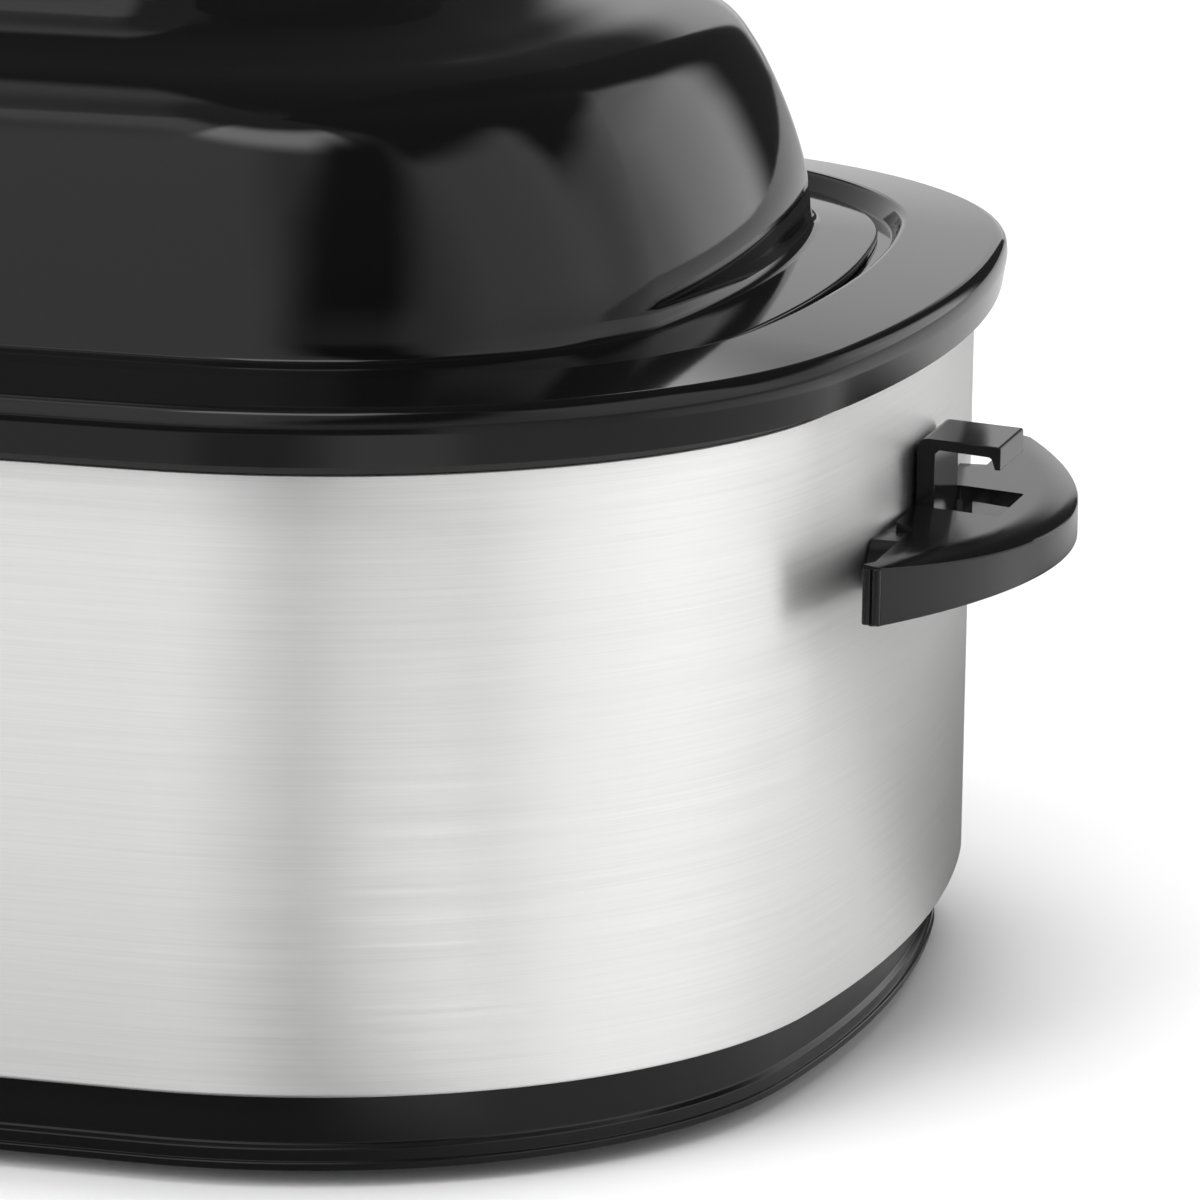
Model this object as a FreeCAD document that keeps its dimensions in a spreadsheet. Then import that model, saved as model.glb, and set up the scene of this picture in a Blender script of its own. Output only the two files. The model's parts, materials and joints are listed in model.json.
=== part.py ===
import FreeCAD, Part
import math
import os
import Sketcher
from FreeCAD import Placement, Rotation, Vector

# A countertop roaster oven: a long rounded body of brushed steel on a black base ring, a heated well
# inside it, a roasting pan whose broad rim covers the top of the body, a wire rack in the pan, and a
# high domed lid that lifts off. The origin is on the table under the middle of the body, +X runs to
# the right-hand handle, +Z is up and the temperature dial faces -Y.

doc = FreeCAD.newDocument("RoasterOven")
sheet = doc.addObject("Spreadsheet::Sheet", "Dimensions")

# ---------------------------------------------------------------- driving dimensions, in millimetres
# Offsets are measured outwards from the outer face of the steel wrap; insets are measured inwards.
DIMENSIONS = {
    # the body seen from above
    "body_length": 540.0,
    "body_width": 400.0,
    "corner_radius": 138.5,
    "end_radius": 503.0,
    # what stands on the table
    "foot_height": 4.0,
    "foot_radius": 13.0,
    "foot_inset_x": 100.0,
    "foot_inset_y": 90.0,
    "ring_height": 20.0,
    "ring_inset": 6.7,
    "ring_wall": 2.6,
    "plate_thickness": 1.0,
    # the steel wrap and the collar on top of it
    "wrap_height": 150.0,
    "wrap_thickness": 0.8,
    "wrap_hem": 14.0,
    "collar_wall": 2.4,
    "band_reveal": 3.5,
    # the heated well
    "well_inset": 34.9,
    "well_thickness": 0.8,
    "well_floor_level": 24.0,
    "well_floor_radius": 20.0,
    # the roasting pan and its rim
    "pan_wall": 1.3,
    "rim_reach": 8.4,
    "rim_height": 16.4,
    "rim_edge_radius": 4.0,
    "recess_inset": 19.5,
    "recess_depth": 5.5,
    "pan_inset": 40.0,
    "pan_taper": 6.3,
    "pan_floor_level": 34.0,
    "pan_floor_radius": 15.0,
    # the lid
    "lid_wall": 1.2,
    "lid_flange_inset": 26.0,
    "lid_hem": 2.0,
    "lid_height": 105.6,
    # the side handles
    "handle_width": 172.0,
    "handle_reach": 36.4,
    "handle_tip_reach": 8.9,
    "handle_level": 139.0,
    "handle_skirt": 15.6,
    "handle_wall": 2.6,
    "hook_width": 27.0,
    "hook_rise": 17.0,
    "hook_reach": 22.0,
    # the control panel
    "dial_level": 69.0,
    "dial_radius": 24.5,
    "bezel_width": 112.0,
    "bezel_height": 62.0,
    "bezel_depth": 3.0,
    "knob_proud": 15.0,
    "shaft_radius": 3.0,
    "lamp_offset": 42.0,
    # the lid handle
    "grip_length": 128.0,
    "grip_width": 24.0,
    "grip_height": 30.0,
    # the wire rack
    "rack_wire": 4.0,
    "rack_level": 44.0,
    "rack_inset": 62.0,
    "rack_handle_rise": 95.0,
}


class Size:
    """A size of the model: its value now, and the spreadsheet formula that it follows."""

    def __init__(self, value, formula):
        self.value = value
        self.formula = formula

    def __add__(self, other):
        other = sized(other)
        return Size(self.value + other.value, f"({self.formula} + {other.formula})")

    def __sub__(self, other):
        other = sized(other)
        return Size(self.value - other.value, f"({self.formula} - {other.formula})")

    def __mul__(self, other):
        other = sized(other)
        return Size(self.value * other.value, f"({self.formula} * {other.formula})")

    def __truediv__(self, other):
        other = sized(other)
        return Size(self.value / other.value, f"({self.formula} / {other.formula})")

    def __radd__(self, other):
        return sized(other) + self

    def __rsub__(self, other):
        return sized(other) - self

    def __rmul__(self, other):
        return sized(other) * self

    def __neg__(self):
        return Size(-self.value, f"(0 - {self.formula})")

    def root(self):
        return Size(math.sqrt(self.value), f"sqrt({self.formula})")


def sized(number):
    if isinstance(number, Size):
        return number
    return Size(float(number), f"({float(number):.6f})")


def fill_sheet():
    """Writes the driving dimensions to the sheet and returns each one as a Size."""
    sizes = {}
    for row, (alias, value) in enumerate(DIMENSIONS.items(), start=1):
        sheet.set(f"A{row}", alias.replace("_", " "))
        sheet.set(f"B{row}", str(value))
        sheet.setAlias(f"B{row}", alias)
        sizes[alias] = Size(value, f"Dimensions.{alias}")
    doc.recompute()
    return sizes


D = fill_sheet()
HALF_LENGTH = D["body_length"] / 2
HALF_WIDTH = D["body_width"] / 2

# ---------------------------------------------------------------- levels, from the table upwards
RING_TOP = D["foot_height"] + D["ring_height"]
WRAP_TOP = RING_TOP + D["wrap_height"]
RIM_LIP = WRAP_TOP + D["band_reveal"]
RIM_TOP = RIM_LIP + D["rim_height"]
RECESS_FLOOR = RIM_TOP - D["recess_depth"]
PAN_SEAT = RECESS_FLOOR - D["pan_wall"]
COLLAR_TOP = PAN_SEAT - D["well_thickness"]
RING_FLANGE_TOP = D["foot_height"] + 2.5
PLATE_TOP = RING_FLANGE_TOP + D["plate_thickness"]
WELL_UNDERSIDE = D["well_floor_level"] - D["well_thickness"]
LID_TOP = RECESS_FLOOR + D["lid_height"]


# ---------------------------------------------------------------- helpers for sketches and features
def bind(thing, prop, size):
    """Sets one property of an object now and ties it to the sheet."""
    size = sized(size)
    setattr(thing, prop, size.value)
    thing.setExpression(prop, size.formula)


def new_body(node):
    body = doc.addObject("PartDesign::Body", node)
    body.Label = node
    return body


def new_sketch(body, name, plane="XY_Plane", level=0.0):
    """A sketch on one of the body's origin planes, lifted off it by a level."""
    sketch = body.newObject("Sketcher::SketchObject", name)
    base = [feature for feature in body.Origin.OriginFeatures if feature.Role == plane][0]
    sketch.AttachmentSupport = [(base, "")]
    sketch.MapMode = "FlatFace"
    level = sized(level)
    sketch.AttachmentOffset = Placement(Vector(0, 0, level.value), Rotation())
    sketch.setExpression("AttachmentOffset.Base.z", level.formula)
    return sketch


def hold(sketch, kind, geometry, *rest):
    """Adds one dimension to a sketch and ties it to the sheet; the last argument is its Size."""
    size = sized(rest[-1])
    index = sketch.addConstraint(Sketcher.Constraint(kind, geometry, *rest[:-1], size.value))
    sketch.setExpression(f"Constraints[{index}]", size.formula)


def hold_point(sketch, geometry, point, across, up):
    hold(sketch, "DistanceX", geometry, point, across)
    hold(sketch, "DistanceY", geometry, point, up)


def draw_polygon(sketch, corners):
    """A closed outline of straight edges; a corner is (across, up) or (across, up, radius)."""
    points = [Vector(sized(c[0]).value, sized(c[1]).value, 0) for c in corners]
    count = len(points)
    first = sketch.GeometryCount
    edges = [Part.LineSegment(points[i], points[(i + 1) % count]) for i in range(count)]
    sketch.addGeometry(edges)
    joints = [
        Sketcher.Constraint("Coincident", first + i, 2, first + (i + 1) % count, 1) for i in range(count)
    ]
    sketch.addConstraint(joints)
    for i, corner in enumerate(corners):
        hold_point(sketch, first + i, 1, corner[0], corner[1])
    for i, corner in enumerate(corners):
        if len(corner) > 2:
            radius = sized(corner[2])
            arc = sketch.GeometryCount
            sketch.fillet(first + i, 1, radius.value, True, True)
            hold(sketch, "Radius", arc, radius)


def draw_circle(sketch, across, up, radius):
    across, up, radius = sized(across), sized(up), sized(radius)
    circle = Part.Circle(Vector(across.value, up.value, 0), Vector(0, 0, 1), radius.value)
    index = sketch.addGeometry(circle)
    hold_point(sketch, index, 3, across, up)
    hold(sketch, "Radius", index, radius)


def oval_plan(offset):
    """Centres and radii of the body's outline, moved out by an offset."""
    offset = sized(offset)
    corner_y = HALF_WIDTH - D["corner_radius"]
    end_x = HALF_LENGTH - D["end_radius"]
    reach = D["end_radius"] - D["corner_radius"]
    corner_x = end_x + (reach * reach - corner_y * corner_y).root()
    return corner_x, corner_y, end_x, D["corner_radius"] + offset, D["end_radius"] + offset


def arc_edge(centre_x, centre_y, radius, start, end):
    circle = Part.Circle(Vector(centre_x, centre_y, 0), Vector(0, 0, 1), radius)
    return Part.ArcOfCircle(circle, start, end)


def draw_oval(sketch, offset=0.0):
    """The rounded outline of the body: two straight sides, four corner arcs and two shallow end arcs.

    It starts at the middle of the front side, where the sections that sweep along it are drawn.
    """
    corner_x, corner_y, end_x, corner_r, end_r = oval_plan(offset)
    cx, cy, ex, rc, re = (size.value for size in (corner_x, corner_y, end_x, corner_r, end_r))
    side = cy + rc
    turn = math.atan2(cy, cx - ex)
    quarter = math.pi / 2
    half = math.pi
    first = sketch.GeometryCount
    sketch.addGeometry([
        Part.LineSegment(Vector(0, -side, 0), Vector(cx, -side, 0)),
        arc_edge(cx, -cy, rc, -quarter, -turn),
        arc_edge(ex, 0, re, -turn, turn),
        arc_edge(cx, cy, rc, turn, quarter),
        Part.LineSegment(Vector(cx, side, 0), Vector(-cx, side, 0)),
        arc_edge(-cx, cy, rc, quarter, half - turn),
        arc_edge(-ex, 0, re, half - turn, half + turn),
        arc_edge(-cx, -cy, rc, half + turn, half + quarter),
        Part.LineSegment(Vector(-cx, -side, 0), Vector(0, -side, 0)),
    ])
    for step in range(8):
        sketch.addConstraint(Sketcher.Constraint("Tangent", first + step, 2, first + step + 1, 1))
    sketch.addConstraint(Sketcher.Constraint("Coincident", first + 8, 2, first, 1))
    sketch.addConstraint(Sketcher.Constraint("Horizontal", first))
    hold(sketch, "DistanceX", first, 1, 0.0)
    corners = (
        (1, corner_x, -corner_y),
        (3, corner_x, corner_y),
        (5, -corner_x, corner_y),
        (7, -corner_x, -corner_y),
    )
    for step, across, up in corners:
        hold_point(sketch, first + step, 3, across, up)
        hold(sketch, "Radius", first + step, corner_r)
    hold(sketch, "DistanceX", first + 2, 3, end_x)
    hold(sketch, "DistanceX", first + 6, 3, -end_x)


def pad(body, sketch, length, both_ways=False):
    feature = body.newObject("PartDesign::Pad", "Pad")
    feature.Profile = sketch
    bind(feature, "Length", length)
    if both_ways:
        feature.Midplane = True
    doc.recompute()
    return feature


def pocket(body, sketch, length=None, towards=False, both_ways=False):
    """Cuts a sketch out of the body, and says so if nothing was cut."""
    before = body.Shape.Volume
    feature = body.newObject("PartDesign::Pocket", "Pocket")
    feature.Profile = sketch
    feature.Reversed = towards
    if length is None:
        feature.Type = "ThroughAll"
    else:
        bind(feature, "Length", length)
    if both_ways:
        feature.Midplane = True
    doc.recompute()
    if not body.Shape.Volume < before:
        raise ValueError(f"a pocket of {body.Label} cuts nothing")
    return feature


def repeat_along(body, feature, sketch, length, count):
    """Repeats a feature in a row along the sketch's own horizontal axis."""
    pattern = body.newObject("PartDesign::LinearPattern", "Row")
    pattern.Originals = [feature]
    pattern.Direction = (sketch, ["H_Axis"])
    bind(pattern, "Length", length)
    pattern.Occurrences = count
    body.Tip = pattern
    doc.recompute()
    return pattern


def sweep_around(body, section):
    """Carries a section around the body's outline, so that every offset stays true."""
    path = new_sketch(body, "Outline")
    draw_oval(path)
    feature = body.newObject("PartDesign::AdditivePipe", "Sweep")
    feature.Profile = section
    feature.Spine = (path, [])
    doc.recompute()
    return feature


def front_section(body, name, corners):
    """A section at the middle of the front; a corner is (offset, level) or (offset, level, radius)."""
    sketch = new_sketch(body, name, "YZ_Plane")
    draw_polygon(sketch, [(-(HALF_WIDTH + corner[0]), *corner[1:]) for corner in corners])
    return sketch


def turned(node, corners, level, plane="XY_Plane"):
    """A body turned about the Y axis at a level; a corner is (radius, y) or (radius, y, rounding)."""
    body = new_body(node)
    sketch = new_sketch(body, "Profile", plane, level)
    draw_polygon(sketch, corners)
    feature = body.newObject("PartDesign::Revolution", "Turn")
    feature.Profile = sketch
    feature.ReferenceAxis = (sketch, ["V_Axis"])
    feature.Angle = 360.0
    doc.recompute()
    return body


def box(name, length, width, height, corner):
    """A block with its lowest corner at a point."""
    block = doc.addObject("Part::Box", name)
    bind(block, "Length", length)
    bind(block, "Width", width)
    bind(block, "Height", height)
    put(block, corner)
    return block


def cylinder(name, radius, height, foot, direction=Vector(0, 0, 1)):
    rod = doc.addObject("Part::Cylinder", name)
    bind(rod, "Radius", radius)
    bind(rod, "Height", height)
    put(rod, foot, Rotation(Vector(0, 0, 1), direction))
    return rod


def put(thing, corner, turn=Rotation()):
    """Places an object, its three coordinates tied to the sheet."""
    corner = [sized(value) for value in corner]
    thing.Placement = Placement(Vector(*(value.value for value in corner)), turn)
    for letter, value in zip("xyz", corner):
        thing.setExpression(f"Placement.Base.{letter}", value.formula)


def cut(name, base, tool):
    feature = doc.addObject("Part::Cut", name)
    feature.Base = base
    feature.Tool = tool
    return feature


def common(name, first, second):
    feature = doc.addObject("Part::Common", name)
    feature.Base = first
    feature.Tool = second
    return feature


def fuse(name, *pieces):
    feature = doc.addObject("Part::MultiFuse", name)
    feature.Shapes = list(pieces)
    return feature


def group(node, pieces):
    """Several equal pieces under one name."""
    feature = doc.addObject("Part::Compound", node)
    feature.Links = list(pieces)
    feature.Label = node
    return feature


# ---------------------------------------------------------------- the base
FOOT_PLACES = [
    (side * (D["body_length"] / 2 - D["foot_inset_x"]), front * (D["body_width"] / 2 - D["foot_inset_y"]))
    for side in (-1, 1)
    for front in (-1, 1)
]
SCREW_RADIUS = 2.0
SCREW_HEAD_RADIUS = 4.0
SCREW_HEAD_HEIGHT = 2.4
SCREW_CLEARANCE = 0.3
BASE_SCREW_LENGTH = 14.0
FOOT_DRAFT = 1.5
FOOT_SINK_RADIUS = 5.0
FOOT_SINK_DEPTH = 3.2
STANDOFF_RADIUS = 6.0
STANDOFF_SHOULDER = 8.5
STANDOFF_CAP = 2.0
SHIELD_LEVEL = 14.0
SHIELD_THICKNESS = 0.8
SHIELD_INSET = 44.0
AIR_SLOTS = 7
AIR_SLOT_PITCH = 14.0
AIR_SLOT_LENGTH = 46.0
AIR_SLOT_WIDTH = 5.0


def make_base_ring():
    """Moulded ring: a stepped outer wall, a top ledge for the wrap and a bottom flange for the plate."""
    body = new_body("base_ring")
    face = -D["ring_inset"]
    inner = face - D["ring_wall"]
    step = 1.2
    section = front_section(body, "Section", [
        (face - step, D["foot_height"], 0.8),
        (face - step, D["foot_height"] + 4.0),
        (face, D["foot_height"] + 4.0 + step),
        (face, RING_TOP),
        (-D["wrap_hem"] - 2.0, RING_TOP),
        (-D["wrap_hem"] - 2.0, RING_TOP - D["ring_wall"]),
        (inner, RING_TOP - D["ring_wall"], 1.2),
        (inner, RING_FLANGE_TOP, 1.2),
        (inner - 15.0, RING_FLANGE_TOP),
        (inner - 15.0, D["foot_height"]),
    ])
    sweep_around(body, section)
    return body


def make_base_plate():
    """Steel plate in the ring, with two rows of air slots and holes for the four foot screws."""
    body = new_body("base_plate")
    plan = new_sketch(body, "Plan", level=RING_FLANGE_TOP)
    draw_oval(plan, -D["ring_inset"] - D["ring_wall"] - 2.0)
    pad(body, plan, D["plate_thickness"])
    holes = new_sketch(body, "ScrewHoles", level=PLATE_TOP)
    for across, up in FOOT_PLACES:
        draw_circle(holes, across, up, SCREW_RADIUS + SCREW_CLEARANCE)
    pocket(body, holes)
    for row in (-1, 1):
        slot = new_sketch(body, "Slot", level=PLATE_TOP)
        left = -AIR_SLOT_PITCH * (AIR_SLOTS - 1) / 2 - AIR_SLOT_WIDTH / 2
        low = row * D["body_width"] / 8 - AIR_SLOT_LENGTH / 2
        draw_polygon(slot, [
            (left, low, AIR_SLOT_WIDTH * 0.45),
            (left + AIR_SLOT_WIDTH, low, AIR_SLOT_WIDTH * 0.45),
            (left + AIR_SLOT_WIDTH, low + AIR_SLOT_LENGTH, AIR_SLOT_WIDTH * 0.45),
            (left, low + AIR_SLOT_LENGTH, AIR_SLOT_WIDTH * 0.45),
        ])
        first = pocket(body, slot)
        repeat_along(body, first, slot, AIR_SLOT_PITCH * (AIR_SLOTS - 1), AIR_SLOTS)
    return body


def make_feet():
    """Four rubber feet under the plate, each with a counterbored hole for its screw."""
    feet = []
    for number, place in enumerate(FOOT_PLACES):
        foot = doc.addObject("Part::Cone", f"foot_{number}")
        bind(foot, "Radius1", D["foot_radius"] - FOOT_DRAFT)
        bind(foot, "Radius2", D["foot_radius"])
        bind(foot, "Height", RING_FLANGE_TOP)
        put(foot, (*place, 0.0))
        start = (*place, 0.0)
        bore = cylinder(f"foot_bore_{number}", SCREW_RADIUS + SCREW_CLEARANCE, RING_FLANGE_TOP, start)
        sink = cylinder(f"foot_sink_{number}", FOOT_SINK_RADIUS, FOOT_SINK_DEPTH, start)
        feet.append(cut(f"rubber_foot_{number}", foot, fuse(f"foot_hole_{number}", bore, sink)))
    return group("rubber_feet", feet)


def make_standoffs():
    """Four shouldered spacers between the plate and the floor of the well."""
    spacers = []
    height = WELL_UNDERSIDE - PLATE_TOP
    for number, place in enumerate(FOOT_PLACES):
        start = (*place, PLATE_TOP)
        stem = cylinder(f"spacer_stem_{number}", STANDOFF_RADIUS, height, start)
        shoulder = cylinder(f"spacer_foot_{number}", STANDOFF_SHOULDER, SHIELD_LEVEL - PLATE_TOP, start)
        bore = cylinder(f"spacer_bore_{number}", SCREW_RADIUS, height - STANDOFF_CAP, start)
        spacers.append(cut(f"spacer_{number}", fuse(f"spacer_solid_{number}", stem, shoulder), bore))
    return group("well_standoffs", spacers)


def make_base_screws():
    """Four screws up through the feet and the plate into the spacers."""
    screws = []
    head_level = FOOT_SINK_DEPTH - SCREW_HEAD_HEIGHT
    for number, place in enumerate(FOOT_PLACES):
        head = cylinder(f"base_head_{number}", SCREW_HEAD_RADIUS, SCREW_HEAD_HEIGHT, (*place, head_level))
        shank = cylinder(f"base_shank_{number}", SCREW_RADIUS, BASE_SCREW_LENGTH, (*place, FOOT_SINK_DEPTH))
        screws.append(fuse(f"base_screw_{number}", head, shank))
    return group("base_screws", screws)


def make_heat_shield():
    """Bright plate on the shoulders of the spacers, below the well."""
    body = new_body("heat_shield")
    plan = new_sketch(body, "Plan", level=SHIELD_LEVEL)
    draw_oval(plan, -SHIELD_INSET)
    for across, up in FOOT_PLACES:
        draw_circle(plan, across, up, STANDOFF_RADIUS + SCREW_CLEARANCE)
    pad(body, plan, SHIELD_THICKNESS)
    return body


# ---------------------------------------------------------------- the body
SHAFT_NECK_RADIUS = 5.0
FRONT = -HALF_WIDTH
LENS_RADIUS = 4.6
GLAND_LEVEL = 50.0
GLAND_BARREL = 6.4
GLAND_BORE = 4.2
HANDLE_SCREW_SPREAD = 45.0
HANDLE_SCREW_RADIUS = 2.0
HOLE_MARGIN = 5.0
HOLE_REACH = 20.0


def handle_screw_level():
    return D["handle_level"] - 9.0


def make_steel_wrap():
    """Brushed band around the body, its bottom edge turned in to stand on the base ring."""
    body = new_body("steel_wrap")
    section = front_section(body, "Section", [
        (0.0, RING_TOP, 0.9),
        (0.0, WRAP_TOP),
        (-D["wrap_thickness"], WRAP_TOP),
        (-D["wrap_thickness"], RING_TOP + D["wrap_thickness"]),
        (-D["wrap_hem"], RING_TOP + D["wrap_thickness"]),
        (-D["wrap_hem"], RING_TOP),
    ])
    sweep_around(body, section)
    front = new_sketch(body, "FrontHoles", "XZ_Plane", HALF_WIDTH + HOLE_MARGIN)
    draw_circle(front, 0.0, D["dial_level"], SHAFT_NECK_RADIUS + 0.3)
    draw_circle(front, D["lamp_offset"], D["dial_level"], LENS_RADIUS - 1.2)
    pocket(body, front, HOLE_REACH)
    back = new_sketch(body, "CordHole", "XZ_Plane", -HALF_WIDTH - HOLE_MARGIN)
    draw_circle(back, 0.0, GLAND_LEVEL, GLAND_BARREL)
    pocket(body, back, HOLE_REACH, towards=True)
    for name, turn in (("RightHoles", 1), ("LeftHoles", -1)):
        side = new_sketch(body, name, "YZ_Plane", turn * (HALF_LENGTH + HOLE_MARGIN))
        for across in (-HANDLE_SCREW_SPREAD, HANDLE_SCREW_SPREAD):
            draw_circle(side, across, handle_screw_level(), HANDLE_SCREW_RADIUS + SCREW_CLEARANCE)
        pocket(body, side, HOLE_REACH, towards=turn < 0)
    return body


def make_rim_collar():
    """Black ring on the wrap's top edge: it shows as a thin band and carries the well's flange."""
    body = new_body("rim_collar")
    wall = D["collar_wall"]
    outside = sized(-0.4)
    tucked = -D["wrap_thickness"] - 0.3
    inner_edge = -D["well_inset"] + 1.3
    section = front_section(body, "Section", [
        (outside, WRAP_TOP),
        (outside, COLLAR_TOP - 5.0, 1.5),
        (outside - 10.0, COLLAR_TOP, 2.5),
        (inner_edge, COLLAR_TOP),
        (inner_edge, COLLAR_TOP - wall),
        (outside - 11.0, COLLAR_TOP - wall, 2.0),
        (tucked - wall, COLLAR_TOP - 5.0 - wall, 1.0),
        (tucked - wall, WRAP_TOP - 6.0),
        (tucked, WRAP_TOP - 6.0),
        (tucked, WRAP_TOP),
    ])
    sweep_around(body, section)
    return body


def make_heating_well():
    """Pressed steel well that hangs by its flange in the collar and holds the heat around the pan."""
    body = new_body("heating_well")
    skin = D["well_thickness"]
    outside = -D["well_inset"]
    inside = outside - skin
    floor_edge = outside - 60.0
    section = front_section(body, "Section", [
        (outside + 12.0, PAN_SEAT),
        (inside, PAN_SEAT, 1.6),
        (inside, D["well_floor_level"], D["well_floor_radius"]),
        (floor_edge, D["well_floor_level"]),
        (floor_edge, WELL_UNDERSIDE),
        (outside, WELL_UNDERSIDE, D["well_floor_radius"] + skin),
        (outside, COLLAR_TOP, 0.8),
        (outside + 12.0, COLLAR_TOP),
    ])
    sweep_around(body, section)
    floor = new_sketch(body, "Floor", level=WELL_UNDERSIDE)
    draw_oval(floor, floor_edge)
    pad(body, floor, skin)
    return body


def make_insulation():
    """Glass-wool blanket between the well and the wrap, open behind the controls and the cord hole."""
    body = new_body("insulation_blanket")
    plan = new_sketch(body, "Plan", level=RING_TOP + D["wrap_thickness"] + 0.3)
    draw_oval(plan, -8.0)
    draw_oval(plan, -26.0)
    pad(body, plan, D["wrap_height"] - 8.0)
    window = new_sketch(body, "ControlWindow", "XZ_Plane", HALF_WIDTH)
    half_window = D["bezel_width"] / 2 + 12.0
    draw_polygon(window, [
        (-half_window, RING_TOP - 5.0),
        (half_window, RING_TOP - 5.0),
        (half_window, D["dial_level"] + 45.0, 10.0),
        (-half_window, D["dial_level"] + 45.0, 10.0),
    ])
    pocket(body, window, 40.0)
    rear = new_sketch(body, "CordWindow", "XZ_Plane", -HALF_WIDTH)
    draw_polygon(rear, [
        (-30.0, RING_TOP - 5.0),
        (30.0, RING_TOP - 5.0),
        (30.0, GLAND_LEVEL + 30.0, 10.0),
        (-30.0, GLAND_LEVEL + 30.0, 10.0),
    ])
    pocket(body, rear, 40.0, towards=True)
    return body


# ---------------------------------------------------------------- the heater
HEATER_LEVEL = 50.0
HEATER_HEIGHT = 44.0
HEATER_THICKNESS = 3.0
HEATER_GAP = 46.0
STRAP_HEIGHT = 8.0
STRAP_THICKNESS = 0.6
STRAP_MARGIN = 4.0
CLEAR = 0.2
TERMINAL_OFFSET = 28.0
TERMINAL_LEVEL = 72.0
SHAFT_DEPTH = 8.0
KNOB_BORE_TOP = 12.0
KNOB_BACK = 2.0
KNOB_HOLLOW_RADIUS = 9.5
KNOB_HOLLOW_TOP = 6.5


def make_heater_band():
    """Flat heating band around the well, with its two ends apart at the front."""
    body = new_body("heater_band")
    plan = new_sketch(body, "Plan", level=HEATER_LEVEL)
    draw_oval(plan, -D["well_inset"] + CLEAR + HEATER_THICKNESS)
    draw_oval(plan, -D["well_inset"] + CLEAR)
    pad(body, plan, HEATER_HEIGHT)
    gap = new_sketch(body, "Gap", "XZ_Plane", HALF_WIDTH)
    draw_polygon(gap, [
        (-HEATER_GAP / 2, HEATER_LEVEL - 2.0),
        (HEATER_GAP / 2, HEATER_LEVEL - 2.0),
        (HEATER_GAP / 2, HEATER_LEVEL + HEATER_HEIGHT + 2.0),
        (-HEATER_GAP / 2, HEATER_LEVEL + HEATER_HEIGHT + 2.0),
    ])
    pocket(body, gap, D["body_width"] / 2)
    return body


def make_heater_straps():
    """Two spring steel straps that hold the band against the well."""
    inside = -D["well_inset"] + 2 * CLEAR + HEATER_THICKNESS
    rings = []
    low = HEATER_LEVEL + STRAP_MARGIN
    high = HEATER_LEVEL + HEATER_HEIGHT - STRAP_HEIGHT - STRAP_MARGIN
    for name, level in (("lower", low), ("upper", high)):
        ring = new_body(f"strap_{name}")
        plan = new_sketch(ring, "Plan", level=level)
        draw_oval(plan, inside + STRAP_THICKNESS)
        draw_oval(plan, inside)
        pad(ring, plan, STRAP_HEIGHT)
        rings.append(ring)
    return group("heater_straps", rings)


def make_heater_terminals():
    """Two studs on the ends of the heating band."""
    studs = []
    outer_face = FRONT + D["well_inset"] - CLEAR - HEATER_THICKNESS
    for number, side in enumerate((-1, 1)):
        foot = (sized(side * TERMINAL_OFFSET), outer_face, TERMINAL_LEVEL)
        studs.append(cylinder(f"heater_stud_{number}", 2.2, 10.0, foot, Vector(0, -1, 0)))
    return group("heater_terminals", studs)


# ---------------------------------------------------------------- the controls
BRACKET_THICKNESS = 1.5
BEZEL_RECESS = 1.5
NECK_LENGTH = 5.5
THERMOSTAT_DEPTH = 21.0
THERMOSTAT_WIDTH = 34.0
THERMOSTAT_HEIGHT = 40.0


def proud(distance):
    """The y of a point that stands out of the front of the steel by a distance."""
    return FRONT - distance


def make_control_bezel():
    """Pill-shaped black panel on the front, dished around the dial, with a hole for the lamp."""
    body = new_body("control_bezel")
    half_width = D["bezel_width"] / 2
    half_height = D["bezel_height"] / 2
    face = new_sketch(body, "Face", "XZ_Plane", HALF_WIDTH)
    draw_polygon(face, [
        (-half_width, D["dial_level"] - half_height, half_height * 0.98),
        (half_width, D["dial_level"] - half_height, half_height * 0.98),
        (half_width, D["dial_level"] + half_height, half_height * 0.98),
        (-half_width, D["dial_level"] + half_height, half_height * 0.98),
    ])
    pad(body, face, D["bezel_depth"])
    dish = new_sketch(body, "Dish", "XZ_Plane", HALF_WIDTH + D["bezel_depth"])
    draw_circle(dish, 0.0, D["dial_level"], D["dial_radius"] + 1.2)
    pocket(body, dish, D["bezel_depth"] - BEZEL_RECESS)
    holes = new_sketch(body, "Holes", "XZ_Plane", HALF_WIDTH + D["bezel_depth"])
    draw_circle(holes, 0.0, D["dial_level"], SHAFT_NECK_RADIUS + 0.3)
    draw_circle(holes, D["lamp_offset"], D["dial_level"], LENS_RADIUS + 0.1)
    pocket(body, holes)
    return body


def make_thermostat_bracket():
    """Steel plate between the thermostat and the inside of the wrap."""
    body = new_body("thermostat_bracket")
    plate = new_sketch(body, "Plate", "XZ_Plane", HALF_WIDTH - D["wrap_thickness"] - BRACKET_THICKNESS)
    draw_polygon(plate, [
        (-30.0, D["dial_level"] - 25.0, 3.0),
        (30.0, D["dial_level"] - 25.0, 3.0),
        (30.0, D["dial_level"] + 25.0, 3.0),
        (-30.0, D["dial_level"] + 25.0, 3.0),
    ])
    draw_circle(plate, 0.0, D["dial_level"], SHAFT_NECK_RADIUS + 0.3)
    pad(body, plate, BRACKET_THICKNESS)
    return body


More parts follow.
